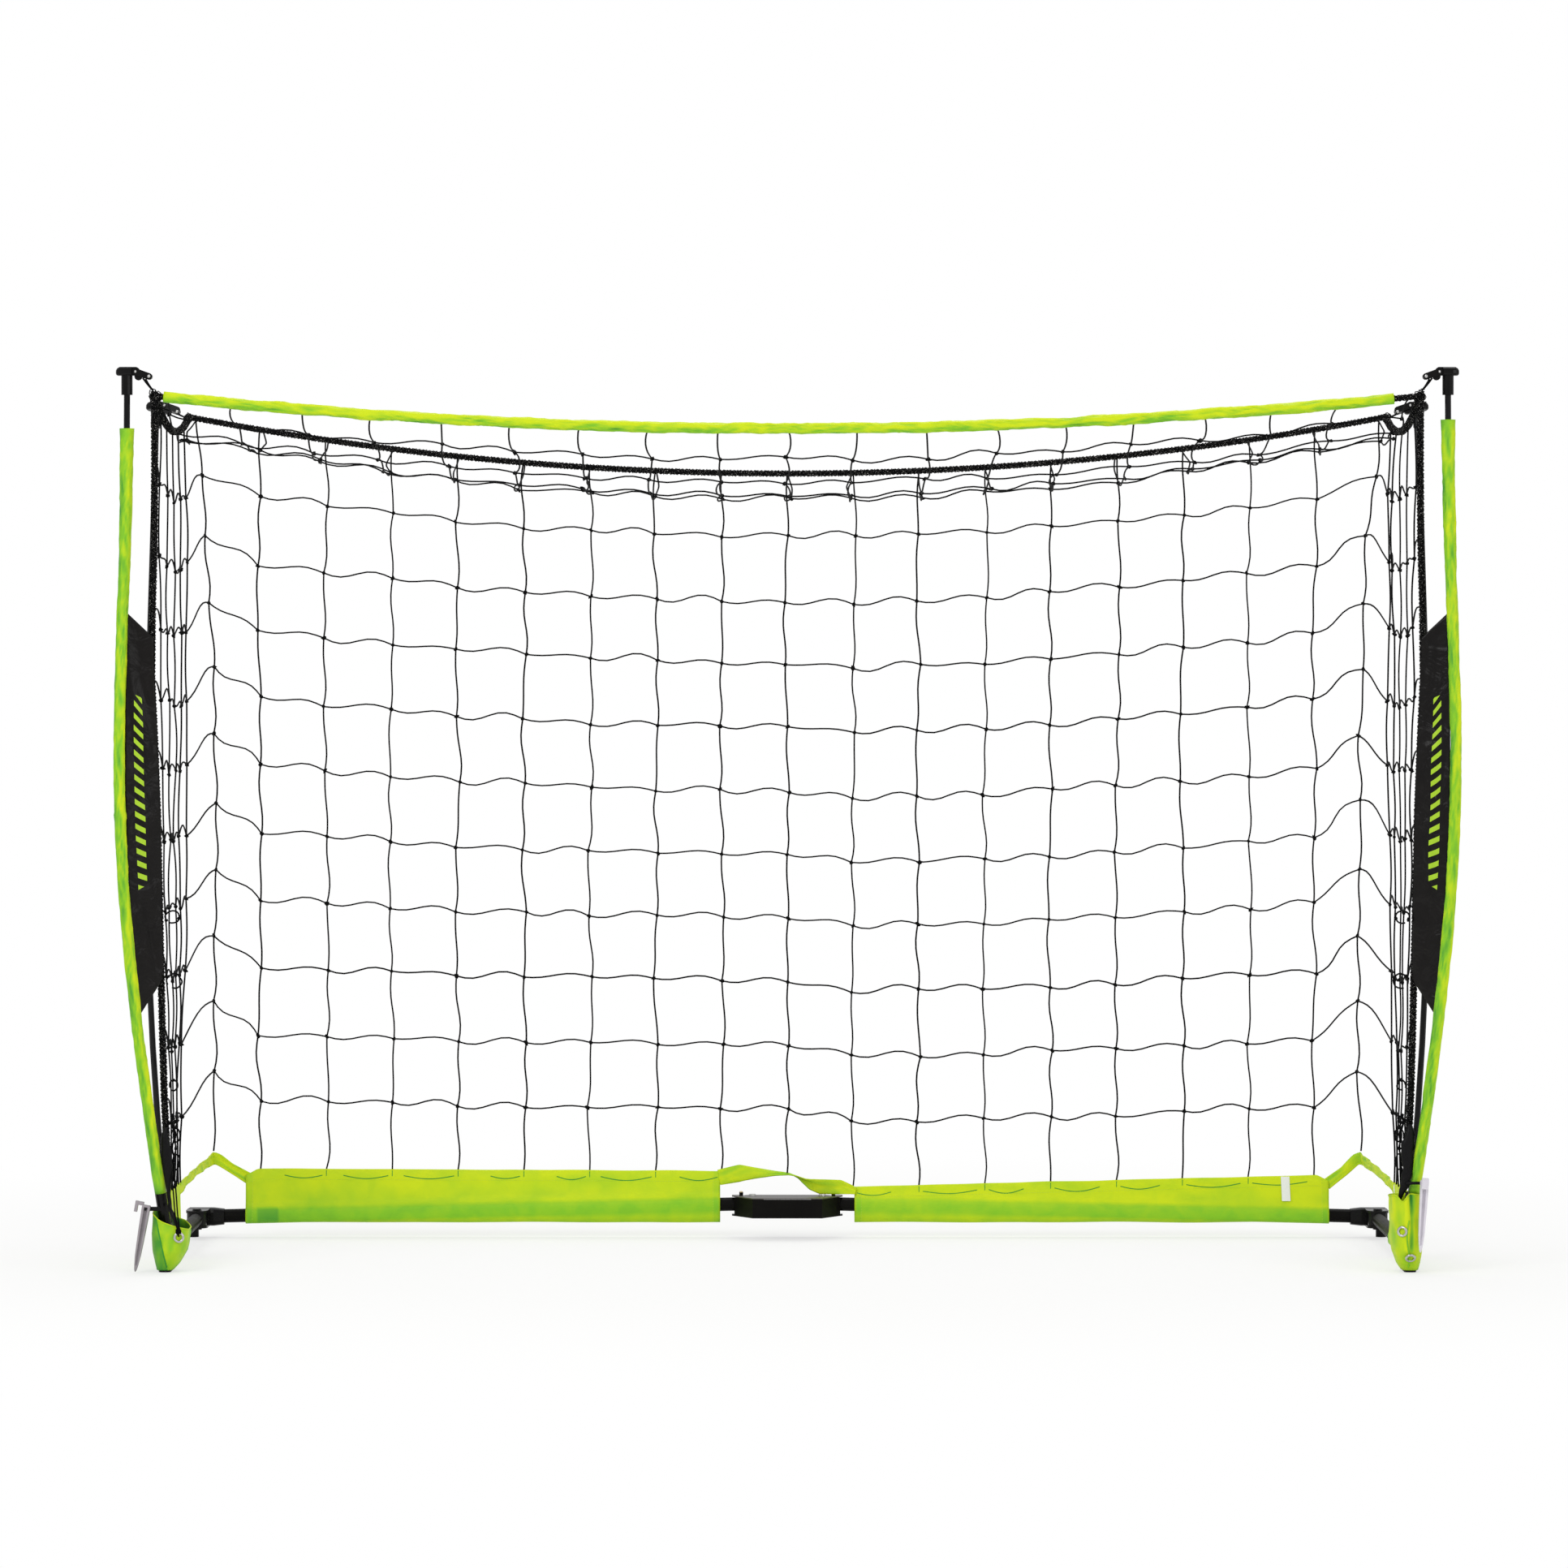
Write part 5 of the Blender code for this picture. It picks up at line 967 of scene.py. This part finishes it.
# Stitches hold the flaps' seams. The net's foot and its border twine make ridges in the top hem.
for side, sign in SIDES:
    flap = bpy.data.objects[f"skirt_cloth_{side}"]
    seams, tucked = [], []
    for face in (-1, 1):
        hem = [(x * sign, REAR_Y, skirt_top(side, x) - 0.0160 - 0.4 * max(0.0, x - 0.806))
               for x in evenly(SKIRT_INNER_X + 0.002, SKIRT_OUTER_X - 0.002, 140)]
        seams.append(pressed(flap, hem, (0, -face, 0), 0.0001))
        for x in (SKIRT_INNER_X + 0.0105, SKIRT_OUTER_X - 0.0105):
            zs = evenly(0.024, skirt_top(side, x) - 0.008, 20)
            seams.append(pressed(flap, [(x * sign, REAR_Y, z) for z in zs], (0, -face, 0), 0.0001))
        for column in range(1, 8):
            first, last = 0.1 * column + 0.006, 0.1 * column + chance.uniform(0.05, 0.09)
            low = chance.uniform(0.0035, 0.0065)
            wavy = []
            for t in evenly(0, 1, 14):
                x = first + (last - first) * t
                z = skirt_top(side, x) - 0.0095 - low * math.sin(math.pi * t)
                wavy.append((x * sign, REAR_Y, z))
            tucked.append(pressed(flap, wavy, (0, -face, 0), -0.0003))
            x = 0.1 * column
            foot = [(x * sign, REAR_Y, skirt_top(side, x) - 0.0015 * i) for i in range(1, 8)]
            tucked.append(pressed(flap, foot, (0, -face, 0), -0.0004))
    stitches = grown(f"skirt_stitches_{side}", stitch_group, seams)
    ridges = grown(f"skirt_hem_twine_{side}", twine_group, tucked, strand_radius=0.0008, material=lime)
    # The ridges carry the deepest painted shade, where the twine behind the cloth blocks the light through
    # it.
    shaded(ridges, 1.0)
    for piece in (stitches, ridges):
        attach(piece, f"rear_bar_{side}")

# A small blank care tag of white satin tape is sewn in the top edge of the right flap. It has a soft shine.
TAG_WIDE, TAG_LONG = 0.0130, 0.0370
white_satin = material("white_satin_tape", ("DFE3DC", "F3F5F0"), patches=(900, 1), rough=0.4)
rows = []
for down in evenly(0, 1, 14):
    row = []
    for across in evenly(0, 1, 4):
        point = (0.7560 + 0.0016 * down + TAG_WIDE * (across - 0.5), REAR_Y, 0.0920 - TAG_LONG * down)
        lift = 0.0006 + 0.0022 * down**2 + 0.0004 * math.sin(math.pi * across)
        row.append((pressed(bpy.data.objects["skirt_cloth_right"], [point], (0, 1, 0), lift)[0], 0.0))
    rows.append(row)
tag = cloth("care_tag", rows, False, 0, white_satin, (0, -1, 0))
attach(tag, "rear_bar_right")


# Arm skirts and hem bands: the same cloth over the side arms, and narrow folded hems that run from the
# flaps up to the net's outer columns, down to the arms, and over the centre bracket.
ARM_X, ARM_Z = 0.893, 0.031
BOOT_MIDDLE_Y = FRONT_Y + 0.012


def hem_place(y, inwards=0.0, below=0.0):
    """A place at the top of the arm's loop and, behind it, of the hem that rises to the outer column."""
    share = max(0.0, (y - ARM_HEM_Y) / (REAR_Y - ARM_HEM_Y))
    return 0.890 - 0.0159 * share - inwards, y, ARM_HEM_Z + (0.1288 - ARM_HEM_Z) * share - below


def band(name, stops, count, sign, seed, shade=0.2):
    """A folded hem through stops of x, y, z, half width and, if it isn't to sway, a twist about its line."""
    reach = lengths([Vector(stop[:3]) for stop in stops])
    table = [(s, *stop) for s, stop in zip(reach, stops)]
    places = [read_off(table, s) for s in evenly(0, reach[-1], count)]
    centres = [mirrored(Vector(place[:3]), sign) for place in places]
    rows = []
    for i, (centre, (_, _, _, half, *twist)) in enumerate(zip(centres, places)):
        along = heading(centres, i)
        across = UP.cross(along).normalized()
        spin = math.radians(twist[0] if twist else 8 * math.sin(0.21 * i))
        flat_way = along.cross(across) * math.cos(spin) + across * math.sin(spin)
        facing = along.cross(flat_way)
        row = []
        for b in evenly(-1, 1, 8):
            fold = crease(27 * (centre.x + centre.y), 1.3 * b, 0.3, seed)
            point = centre + flat_way * (half * b) + facing * (0.0007 * fold + 0.0010 * (1 - b * b))
            # Painted shade: darker in the creases and where the band turns on edge, lighter on its ridges.
            row.append((point, shade - 0.22 * fold + 0.25 * abs(math.sin(spin))))
        rows.append(row)
    return cloth(name, rows, False, 0.0013, lime, (0, -1, 0), offset=0)


for side, sign in SIDES:
    rows = []
    front, rear = BOOT_MIDDLE_Y + 0.0448, ARM_HEM_Y
    for y in evenly(front, rear, 110):
        top = ARM_HEM_Z - 0.0007 + 0.0007 * wave_at(3, 15 * y, sign)
        row = []
        for face, z, half in loop_outline(ARM_Z, 0.0186, top):
            soft = 1.0 if z > ARM_Z + 0.012 else 0.2
            wave = wave_at(13 * y + 30 * z, 30 * z, 3 * sign + face)
            lift = max(0.0, soft * 0.0018 * wave + 0.0004)
            behind = max(0.0, 1 - (abs(z - ARM_Z) / 0.0125) ** 6)
            point = Vector(((ARM_X + face * (half + lift)) * sign, y, z))
            # Painted shade where the arm lies behind the cloth, lighter on the bulges of the folds.
            row.append((point, 0.12 + 0.34 * behind - 0.12 * wave * soft))
        rows.append(row)
    loop = cloth(f"arm_skirt_cloth_{side}", rows, True, 0.0005, lime)
    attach(loop, f"arm_{side}")
    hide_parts(f"arm_skirt_{side}")

    top = skirt_top(side, SKIRT_OUTER_X)
    stops = [
        (SKIRT_OUTER_X - 0.004, REAR_Y, top - 0.0150, 0.0085),
        (0.846, REAR_Y, (top + 0.108) / 2 - 0.001, 0.0072),
        (0.864, REAR_Y, 0.1175, 0.0085),
        (0.871, REAR_Y - 0.001, 0.1195, 0.0095),
        (*hem_place(REAR_Y - 0.024, 0.002, 0.0100), 0.0080),
        (*hem_place(0.15, 0, 0.0074), 0.0066),
        (*hem_place(0.0, 0, 0.0074), 0.0070),
        (0.8895, ARM_HEM_Y - 0.003, ARM_HEM_Z - 0.0095, 0.0085),
    ]
    piece = band(f"corner_band_cloth_{side}", stops, 120, sign, sign)
    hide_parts(f"corner_band_{side}")
    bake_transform(piece)

stops = [
    (-0.104, REAR_Y - 0.002, 0.0905, 0.0118, 0),
    (-0.072, REAR_Y, 0.0968, 0.0130, 8),
    (-0.050, REAR_Y, 0.0968, 0.0088, 16),
    (-0.018, REAR_Y, 0.0962, 0.0042, 40),
    (0.002, REAR_Y, 0.0950, 0.0036, 70),
    (0.016, REAR_Y - 0.001, 0.0905, 0.0036, 110),
    (0.026, REAR_Y - 0.003, 0.0845, 0.0050, 150),
    (0.036, REAR_Y - 0.005, 0.0800, 0.0085, 172),
    (0.050, REAR_Y - 0.007, 0.0768, 0.0112, 180),
    (0.080, REAR_Y - 0.008, 0.0762, 0.0110, 180),
    (0.096, REAR_Y - 0.009, 0.0725, 0.0072, 180),
    (0.104, REAR_Y - 0.010, 0.0700, 0.0050, 180),
]
piece = band("centre_band_cloth", stops, 90, 1, 5, 0.25)
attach(piece, "centre_bracket")
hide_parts("centre_band")


# Boots: lime pockets pulled over the front feet, creased where they narrow to the sole, with a piped
# seam. Each has two zinc eyelets, one for the net's cord and one for a ground peg.
BOOT_X = 0.885
# Half depths by height, and each side's half widths and steps outwards. The right boot is pulled in at
# its inner side.
BOOT_Z = (0.0035, 0.012, 0.030, 0.055, 0.086, 0.130)
BOOT_DEPTH = (0.0274, 0.0322, 0.0415, 0.0445, 0.0415, 0.0390)
BOOT_WIDTH = {"left": (0.0125, 0.0172, 0.0240, 0.0270, 0.0245, 0.0215),
              "right": (0.0125, 0.0165, 0.0210, 0.0235, 0.0222, 0.0204)}
BOOT_STEP = {"left": (0.008, 0.005, 0.001, 0, 0, -0.001),
             "right": (0.008, 0.0060, 0.0040, 0.0035, 0.0023, 0)}


def boot_point(side, angle, z, proud=0.0):
    """A point on a boot's outside, as if on the right. Angle 0 is outwards, -90 degrees is forwards."""
    levels = list(zip(BOOT_Z, BOOT_WIDTH[side], BOOT_DEPTH, BOOT_STEP[side]))
    half_x, half_y, step = read_off(levels, z)
    c, s = math.cos(angle), math.sin(angle)
    scale = (abs(c) ** 2.8 + abs(s) ** 2.8) ** (-1 / 2.8)
    x, y = BOOT_X + step + (half_x + proud) * scale * c, BOOT_MIDDLE_Y + (half_y + proud) * scale * s
    return Vector((x, y, z))


def seam_out(z):
    """Where the front seam lies on the left boot, outwards from its middle."""
    return 0.0045 + 0.0152 * (z - 0.010) / 0.073


def rim_height(side, angle):
    forward = max(0.0, -math.sin(angle))
    if side == "left":
        return 0.0755 + 0.0125 * math.cos(angle) - 0.0055 * forward + 0.0012 * math.cos(3 * angle)
    return 0.108 + 0.006 * forward - 0.011 * math.exp(-(((angle + math.pi / 2 + 0.28) / 0.28) ** 2))


for side, sign in SIDES:
    rows = []
    for up in evenly(0, 1, 34):
        row = []
        for a in evenly(-math.pi, math.pi, 56)[:-1]:
            z = 0.0032 + (rim_height(side, a) - 0.0032) * up
            loose = min(1.0, 4 * up) * (0.55 + 0.45 * up)
            wave = wave_at(2.2 * math.cos(a) + 9 * z, 2.2 * math.sin(a), 26 * z + 3 * sign)
            fold = crease(1.7 * math.cos(a) + 14 * z, 1.7 * math.sin(a) - 9 * z, 21 * z, sign + 2)
            ridge = groove = 0.0
            if side == "right" and math.sin(a) < 0:
                across = boot_point(side, a, z).x - BOOT_X
                height = min(1.0, max(0.0, (z - 0.026) / 0.012))
                ridge = math.exp(-(((across - 0.0018) / 0.0030) ** 2)) * height
                groove = math.exp(-(((across - 0.0082) / 0.0026) ** 2)) * height
            pleat = 0.0018 * ridge - 0.0022 * groove
            p = boot_point(side, a, z, loose * (0.0018 * wave + 0.0009 * fold) + pleat)
            # Painted shade: the left boot is shaded all over, and more on its outer side beyond the seam and
            # at its back. Both are darker in their folds' hollows. The right boot has a painted highlight on
            # its pleat and painted shade in its groove.
            whole = 0.22
            if side == "left":
                whole = 0.46 + (0.42 if p.x - BOOT_X > seam_out(z) or math.sin(a) > 0 else 0.0)
            tone = whole - 0.26 * fold * loose - 0.25 * wave - 0.35 * ridge + 0.65 * groove
            row.append((mirrored(p, sign), tone))
        rows.append(row)
    pocket = cloth(f"boot_cloth_{side}", rows, True, 0.0009, lime)
    seam = []
    for z in evenly(0.008, 0.076, 25):
        out = seam_out(z) if side == "left" else 0.0030 + 0.002 * math.sin(90 * z)
        seam.append(((BOOT_X + out) * sign, BOOT_MIDDLE_Y, z))
    seam = pressed(pocket, seam, (0, 1, 0), 0.0002)
    piping = grown("piping", twine_group, [seam], strand_radius=0.0011, material=lime)
    shaded(piping, 1.0 if side == "left" else 0.5)
    rim = [point for point, _ in (*rows[-1], rows[-1][0])]
    hem = grown("rim_hem", twine_group, [rim], strand_radius=0.0010, material=lime)
    shaded(hem, 0.15)
    trim = joined(f"boot_trim_{side}", [piping, hem])
    for piece in (pocket, trim):
        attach(piece, f"arm_{side}")
    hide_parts(f"boot_{side}")


def solid(name, rows, finish, ends):
    """A smooth closed piece through rows of points."""
    shape = bmesh.new()
    skin(shape, rows, True, ends)
    bmesh.ops.recalc_face_normals(shape, faces=shape.faces)
    return finished(name, shape, finish, smooth=True)


def turned(name, profile, place, facing, finish, sides=28):
    """Turns a closed profile of (radius, height) points round an axis."""
    frame_of = Vector(facing).to_track_quat("Z", "Y").to_matrix()
    rows = []
    for a in round_turn(sides):
        spoke = Vector((math.cos(a), math.sin(a), 0))
        rows.append([Vector(place) + frame_of @ (spoke * r + UP * h) for r, h in profile])
    return solid(name, rows, finish, "joined")


# Each eyelet is a rolled ring, 16 mm across, with a hole of 9 mm. Each is set a little off the pattern's
# mark, as the sewn boots differ, and the cloth folds over the left boot's lower one, at its toe.
EYELET = [(0.0045, -0.0012), (0.0045, 0.0004), (0.0050, 0.0012), (0.0060, 0.0015), (0.0072, 0.0011),
          (0.0080, 0.0002), (0.0079, -0.0006), (0.0066, -0.0008)]
for side, label, facing, shift, proud in (
    ("left", "cord_grommet", (0.20, -1, 0.0), (0.0060, 0, 0.0030), 0.0016),
    ("left", "peg_grommet", (0.0, -1, -1.2), (0, 0, 0), -0.0045),
    ("right", "cord_grommet", (-0.50, -1, 0.0), (0.0030, 0, 0.0115), 0.0016),
    ("right", "peg_grommet", (0.06, -1, -0.9), (0.0045, 0, 0.0040), 0.0016),
):
    low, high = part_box(f"{label}_{side}")
    facing = Vector(facing).normalized()
    pocket = bpy.data.objects[f"boot_cloth_{side}"]
    seat = pressed(pocket, [(low + high) / 2 + Vector(shift)], (0, 1, 0), 0)[0]
    eyelet = turned(f"{label}_ring_{side}", EYELET, seat + facing * proud, facing, zinc)
    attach(eyelet, f"arm_{side}")
    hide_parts(f"{label}_{side}")


# Net ends: the net's front corners are gathered, wrapped in black tape and tied down. The left one's tail
# passes its socket to the boot's eyelet, with a doubled cord. The right one's is tucked into the boot.
# Crumpled tape has a faint shine on its small folds.
black_tape = material("black_polyester_tape", ("070708", "151416"), patches=(260, 3, 0.8), rough=0.45,
                      relief=(0.5, 0.0008), specular=0.12)


def wrapped(name, line, finish, folds=0.0, seed=0):
    """A closed bundle along a line of (x, y, z, half width, half depth)."""
    points = [Vector(place[:3]) for place in line]
    rows = []
    for i, (point, (*_, wide, deep)) in enumerate(zip(points, line)):
        along = heading(points, i)
        across = Vector((0, 1, 0)).cross(along).normalized()
        out = along.cross(across)
        row = []
        for a in round_turn(14):
            c, s = math.cos(a), math.sin(a)
            crumple = 1 + folds * wave_at(2 * c, 2 * s, 90 * point.z + seed)
            row.append(point + across * (wide * crumple * c) + out * (deep * crumple * s))
        rows.append(row)
    return solid(name, rows, finish, "capped")


def smooth_line(points, steps):
    """A rounded line of tuples through the points, by Catmull-Rom."""
    ends = [points[0], *points, points[-1]]
    line = []
    for k in range(1, len(ends) - 2):
        for i in range(steps):
            t = i / steps
            line.append(tuple(
                q + 0.5 * ((r - p) * t + (2 * p - 5 * q + 4 * r - s) * t**2 + (3 * q - p - 3 * r + s) * t**3)
                for p, q, r, s in zip(*ends[k - 1 : k + 3])
            ))
    return [*line, points[-1]]


# Middle, half width and half depth of each gathered end, from its top to its foot
GATHERED = {
    "left": [
        (0.8905, -0.0075, 0.2080, 0.0025, 0.0025),
        (0.8925, -0.0100, 0.1950, 0.0050, 0.0038),
        (0.8905, -0.0108, 0.1780, 0.0072, 0.0042),
        (0.8890, -0.0110, 0.1600, 0.0078, 0.0044),
        (0.8872, -0.0112, 0.1420, 0.0064, 0.0042),
        (0.8868, -0.0118, 0.1260, 0.0040, 0.0036),
        (0.8862, -0.0120, 0.1120, 0.0024, 0.0026),
        (0.8850, -0.0130, 0.1000, 0.0027, 0.0018),
        (0.8835, -0.0230, 0.0915, 0.0030, 0.0016),
        (0.8800, -0.0322, 0.0865, 0.0030, 0.0013),
        (0.8745, -0.0348, 0.0740, 0.0027, 0.0012),
        (0.8708, -0.0354, 0.0640, 0.0023, 0.0012),
    ],
    "right": [
        (0.8915, -0.0075, 0.2120, 0.0030, 0.0028),
        (0.8920, -0.0105, 0.1980, 0.0066, 0.0042),
        (0.8890, -0.0115, 0.1820, 0.0092, 0.0046),
        (0.8880, -0.0118, 0.1660, 0.0088, 0.0046),
        (0.8885, -0.0120, 0.1500, 0.0074, 0.0044),
        (0.8868, -0.0122, 0.1360, 0.0072, 0.0040),
        (0.8835, -0.0125, 0.1230, 0.0060, 0.0036),
        (0.8790, -0.0125, 0.1120, 0.0036, 0.0028),
        (0.8762, -0.0125, 0.1030, 0.0016, 0.0016),
    ],
}
# Loops of loose twine beside them, as (z, width, height), and loose ends, as (first x, last x, bend)
LOOSE_LOOPS = ((0.509, 0.020, 0.011), (0.417, 0.021, 0.013), (0.268, 0.012, 0.009), (0.196, 0.013, 0.012),
               (0.158, 0.009, 0.014))
LOOSE_ENDS = ((0.8815, 0.8790, 0.0020), (0.8775, 0.8800, -0.0026), (0.8790, 0.8810, 0.0034))
for side, sign in SIDES:
    line = [(x * sign, FRONT_Y + y, z, w, d) for x, y, z, w, d in smooth_line(GATHERED[side], 5)]
    bundle = wrapped(f"net_end_{side}", line, black_tape, 0.16 if side == "left" else 0.34, 3 * sign)
    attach(bundle, f"arm_{side}")
    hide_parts(f"net_tab_{side}")

    loops, strands = [], []
    for z, wide, tall in LOOSE_LOOPS:
        x = edge_rope_x(z) - 0.008
        loop = []
        for a in evenly(-0.5, 5.1, 22):
            wander = 0.0016 * wave_at(a, 40 * z, sign)
            loop.append(Vector((
                (x - wide / 2 + (wide / 2) * math.cos(a) + wander) * sign,
                FRONT_Y - 0.003 + 0.004 * math.sin(a / 2),
                z + tall * math.sin(a) * 0.8 - wander,
            )))
        loops.append(loop)
    for first, last, bend in LOOSE_ENDS:
        strand = []
        for t in evenly(0, 1, 24):
            x = first + (last - first) * t + bend * math.sin(5 * t * math.pi) * (1 - 0.5 * t)
            strand.append(Vector((x * sign, FRONT_Y - 0.004 - 0.004 * t, 0.225 - 0.095 * t)))
        strands.append(strand)
    lumps = [loops[0][0], loops[0][15], loops[1][5], loops[2][8], strands[0][0], strands[1][12]]
    loose = grown(f"net_ends_{side}", twine_group, loops + strands, lumps, strand_radius=TWINE_R,
                  knot_size=0.0028, seed=41 + sign)
    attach(loose, f"arm_{side}")

# The left end's cord is doubled and drawn down to a knot in the boot's eyelet.
for label, first_x, last_x in (("inner", 0.8790, 0.8692), ("outer", 0.8832, 0.8726)):
    cord_points = [
        (-first_x, FRONT_Y - 0.0120, 0.1480),
        (-(0.62 * first_x + 0.38 * last_x), FRONT_Y - 0.0225, 0.1160),
        (-(0.3 * first_x + 0.7 * last_x), FRONT_Y - 0.0340, 0.0860),
        (-last_x, FRONT_Y - 0.0366, 0.0640),
    ]
    cord_line = [Vector(point) for point in smooth_line(cord_points, 8)]
    cord = grown(f"net_cord_{label}", twine_group, [cord_line], strand_radius=0.0011)
    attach(cord, "arm_left")
knot_line = []
for a in evenly(0, 5 * math.pi, 40):
    knot_line.append(Vector((
        -0.8708 + 0.0030 * math.cos(a),
        FRONT_Y - 0.0356 + 0.0012 * math.sin(a),
        0.0605 + 0.0024 * math.sin(1.7 * a),
    )))
knot_line.append(Vector((-0.8705, FRONT_Y - 0.0328, 0.0530)))
knot = grown("net_cord_knot", twine_group, [knot_line], strand_radius=TWINE_R)
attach(knot, "arm_left")

# Corner ties: a thin doubled cord hangs from each link to a fuzzy knot at the net's corner. Each row has
# where it starts, where it meets the knot, the knot's middle and its size.
CORNER_TIES = (
    ("front", FRONT_Y, ((0.9228, 0, 1.2812), (0.9188, 0, 1.2798)), (0.9082, 0, 1.2632),
     (0.9052, 1.2545), 0.0052),
    ("rear", SIDE_REAR_Y - 0.001, ((0.9262, 0, 1.2502), (0.9230, 0, 1.2490)), (0.9125, 0, 1.2440),
     (0.9085, 1.2430), 0.0032),
)
for side, sign in SIDES:
    for end, y, starts, meeting, (middle_x, middle_z), size in CORNER_TIES:
        lines = []
        for start in starts:
            line = []
            for t in evenly(0, 1, 8):
                point = Vector(start).lerp(Vector(meeting), t)
                sag = 0.0006 * math.sin(math.pi * t)
                line.append(Vector(((point.x + sag) * sign, y, point.z)))
            lines.append(line)
        tie = grown(f"{end}_tie_cords_{side}", twine_group, lines, strand_radius=0.0015)
        coil = []
        for a in evenly(0, 6 * math.pi, 48):
            coil.append(Vector((
                (middle_x + size * 0.75 * math.cos(a)) * sign,
                y + size * 0.75 * math.sin(a),
                middle_z + size * (1.3 * (a / (3 * math.pi) - 1) + 0.5 * math.sin(a / 3)),
            )))
        lump = grown(f"{end}_corner_knot_{side}", rope_group, [coil], rope_radius=size * 0.55,
                     strand_radius=size * 0.22, turn_length=0.014, fibres=5200.0, seed=51 + sign)
        for piece in (tie, lump):
            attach(piece, f"arm_{side}")
        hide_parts(f"{end}_tie_{side}")


# Rivet heads: bright zinc domes on the links' pins, and a yellow-passivated one on each stop pin, with a
# warm and slightly mottled shine.
DOME = [(0.0001, 0.0013), (0.0012, 0.0012), (0.0023, 0.0007), (0.0029, 0.0), (0.0029, -0.0006),
        (0.0001, -0.0006)]
PIN_INSET = 0.0048
yellow_zinc = material("yellow_zinc_steel", ("A08A62", "D9C9A0"), patches=(400, 2), rough=(0.20, 0.40),
                       Metallic=1.0)
for side, sign in SIDES:
    for end in ("front", "rear"):
        low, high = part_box(f"{end}_{side}_link")
        inner_x, outer_x = sorted((low.x, high.x), key=abs)
        heads = []
        for x, z, scale in ((inner_x + PIN_INSET * sign, low.z + PIN_INSET, 0.85),
                            (outer_x - PIN_INSET * sign, high.z - PIN_INSET, 0.7)):
            profile = [(r * scale, h) for r, h in DOME]
            heads.append(turned("rivet", profile, (x, low.y - 0.0001, z), (0, -1, 0), zinc, 16))
        heads = joined(f"{end}_link_rivets_{side}", heads)
        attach(heads, f"{end}_pole_{side}")
    stud = turned(f"stop_pin_head_{side}", DOME, (0.070 * sign, REAR_Y, 0.0682), (0, 0, 1), yellow_zinc, 16)
    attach(stud, f"rear_bar_{side}")


# Ground pegs: moulded plastic blades with a channel down the front and a hooked head. They hang on a pin
# through the head: a grey one beside the left socket, a pale one beside the right boot.
PEG_ENDS = {
    "left": ("grey", (0.9180, 0.0970), (0.9345, 0.0015), ("857E84", "A69EA4")),
    "right": ("pale", (0.9105, 0.1340), (0.9045, 0.0310), ("CFCAD4", "E2DEE6")),
}
# Each row: share of the length, half width, and the channel's depth as a share of the blade's
PEG_RINGS = ((0, 0.0052, 0), (0.006, 0.0058, 0), (0.03, 0.0059, 0), (0.035, 0.0059, 0.45),
             (0.40, 0.0053, 0.45), (0.75, 0.0042, 0.40), (0.90, 0.0028, 0.30), (0.905, 0.0027, 0),
             (0.97, 0.0018, 0), (1, 0.0007, 0))
# The hook's two blocks: reach, height along the blade, and half width
HOOK_BLOCKS = (((0.0040, 0.0121), (-0.0038, 0.0012), 0.0046), ((0.0118, 0.0162), (-0.0040, 0.0115), 0.0048))
BLOCK_FACES = ((0, 1, 3, 2), (4, 6, 7, 5), (0, 4, 5, 1), (2, 3, 7, 6), (0, 2, 6, 4), (1, 5, 7, 3))
FORWARD = Vector((0, -1, 0))
for side, sign in SIDES:
    shade, head, tip, colours = PEG_ENDS[side]
    # Half-gloss plastic that is a little cloudy
    peg_plastic = material(f"{shade}_peg_plastic", colours, patches=(60, 3), rough=0.36)
    y = FRONT_Y - 0.0165 if side == "left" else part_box(f"peg_{side}")[1].y - 0.006
    start, stop = [Vector((x * sign, y, z)) for x, z in (head, tip)]
    along = (stop - start).normalized()
    across = FORWARD.cross(along).normalized()
    shape = bmesh.new()
    rows = []
    for share, half, groove in PEG_RINGS:
        channel = -1 + 2 * groove
        outline = ((-1, 1), (-1, -1), (-0.45, -1), (-0.40, channel), (0.40, channel), (0.45, -1), (1, -1),
                   (1, 1))
        middle = start.lerp(stop, share)
        rows.append([middle + across * (half * a) - FORWARD * (half * b) for a, b in outline])
    skin(shape, rows, True, "capped")
    hook_way = Vector((sign, 0, 0)) if side == "left" else FORWARD
    hook_way = (hook_way - along * hook_way.dot(along)).normalized()
    side_way = hook_way.cross(along)
    for reaches, heights, half in HOOK_BLOCKS:
        corners = [shape.verts.new(start + hook_way * r + along * s + side_way * w)
                   for s in heights for r in reaches for w in (-half, half)]
        for quad in BLOCK_FACES:
            shape.faces.new([corners[k] for k in quad])
    bmesh.ops.recalc_face_normals(shape, faces=shape.faces)
    blade = finished(f"peg_blade_{side}", shape, peg_plastic)
    soften = blade.modifiers.new("soften", "BEVEL")
    soften.width, soften.segments = 0.0007, 2
    settle(blade).data.shade_smooth()
    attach(blade, f"peg_{side}")
    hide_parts(f"peg_{side}")

# The right peg hangs on a black tape that comes out of the net's end and passes over its pin.
strap_line = [(x, FRONT_Y - y, z, 0.0022, 0.0010) for x, y, z in (
    (0.8850, 0.0160, 0.1280), (0.8960, 0.0225, 0.1290), (0.9060, 0.0235, 0.1290), (0.9115, 0.0238, 0.1282),
)]
strap = wrapped("peg_strap_right", smooth_line(strap_line, 4), black_tape)
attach(strap, "arm_right")
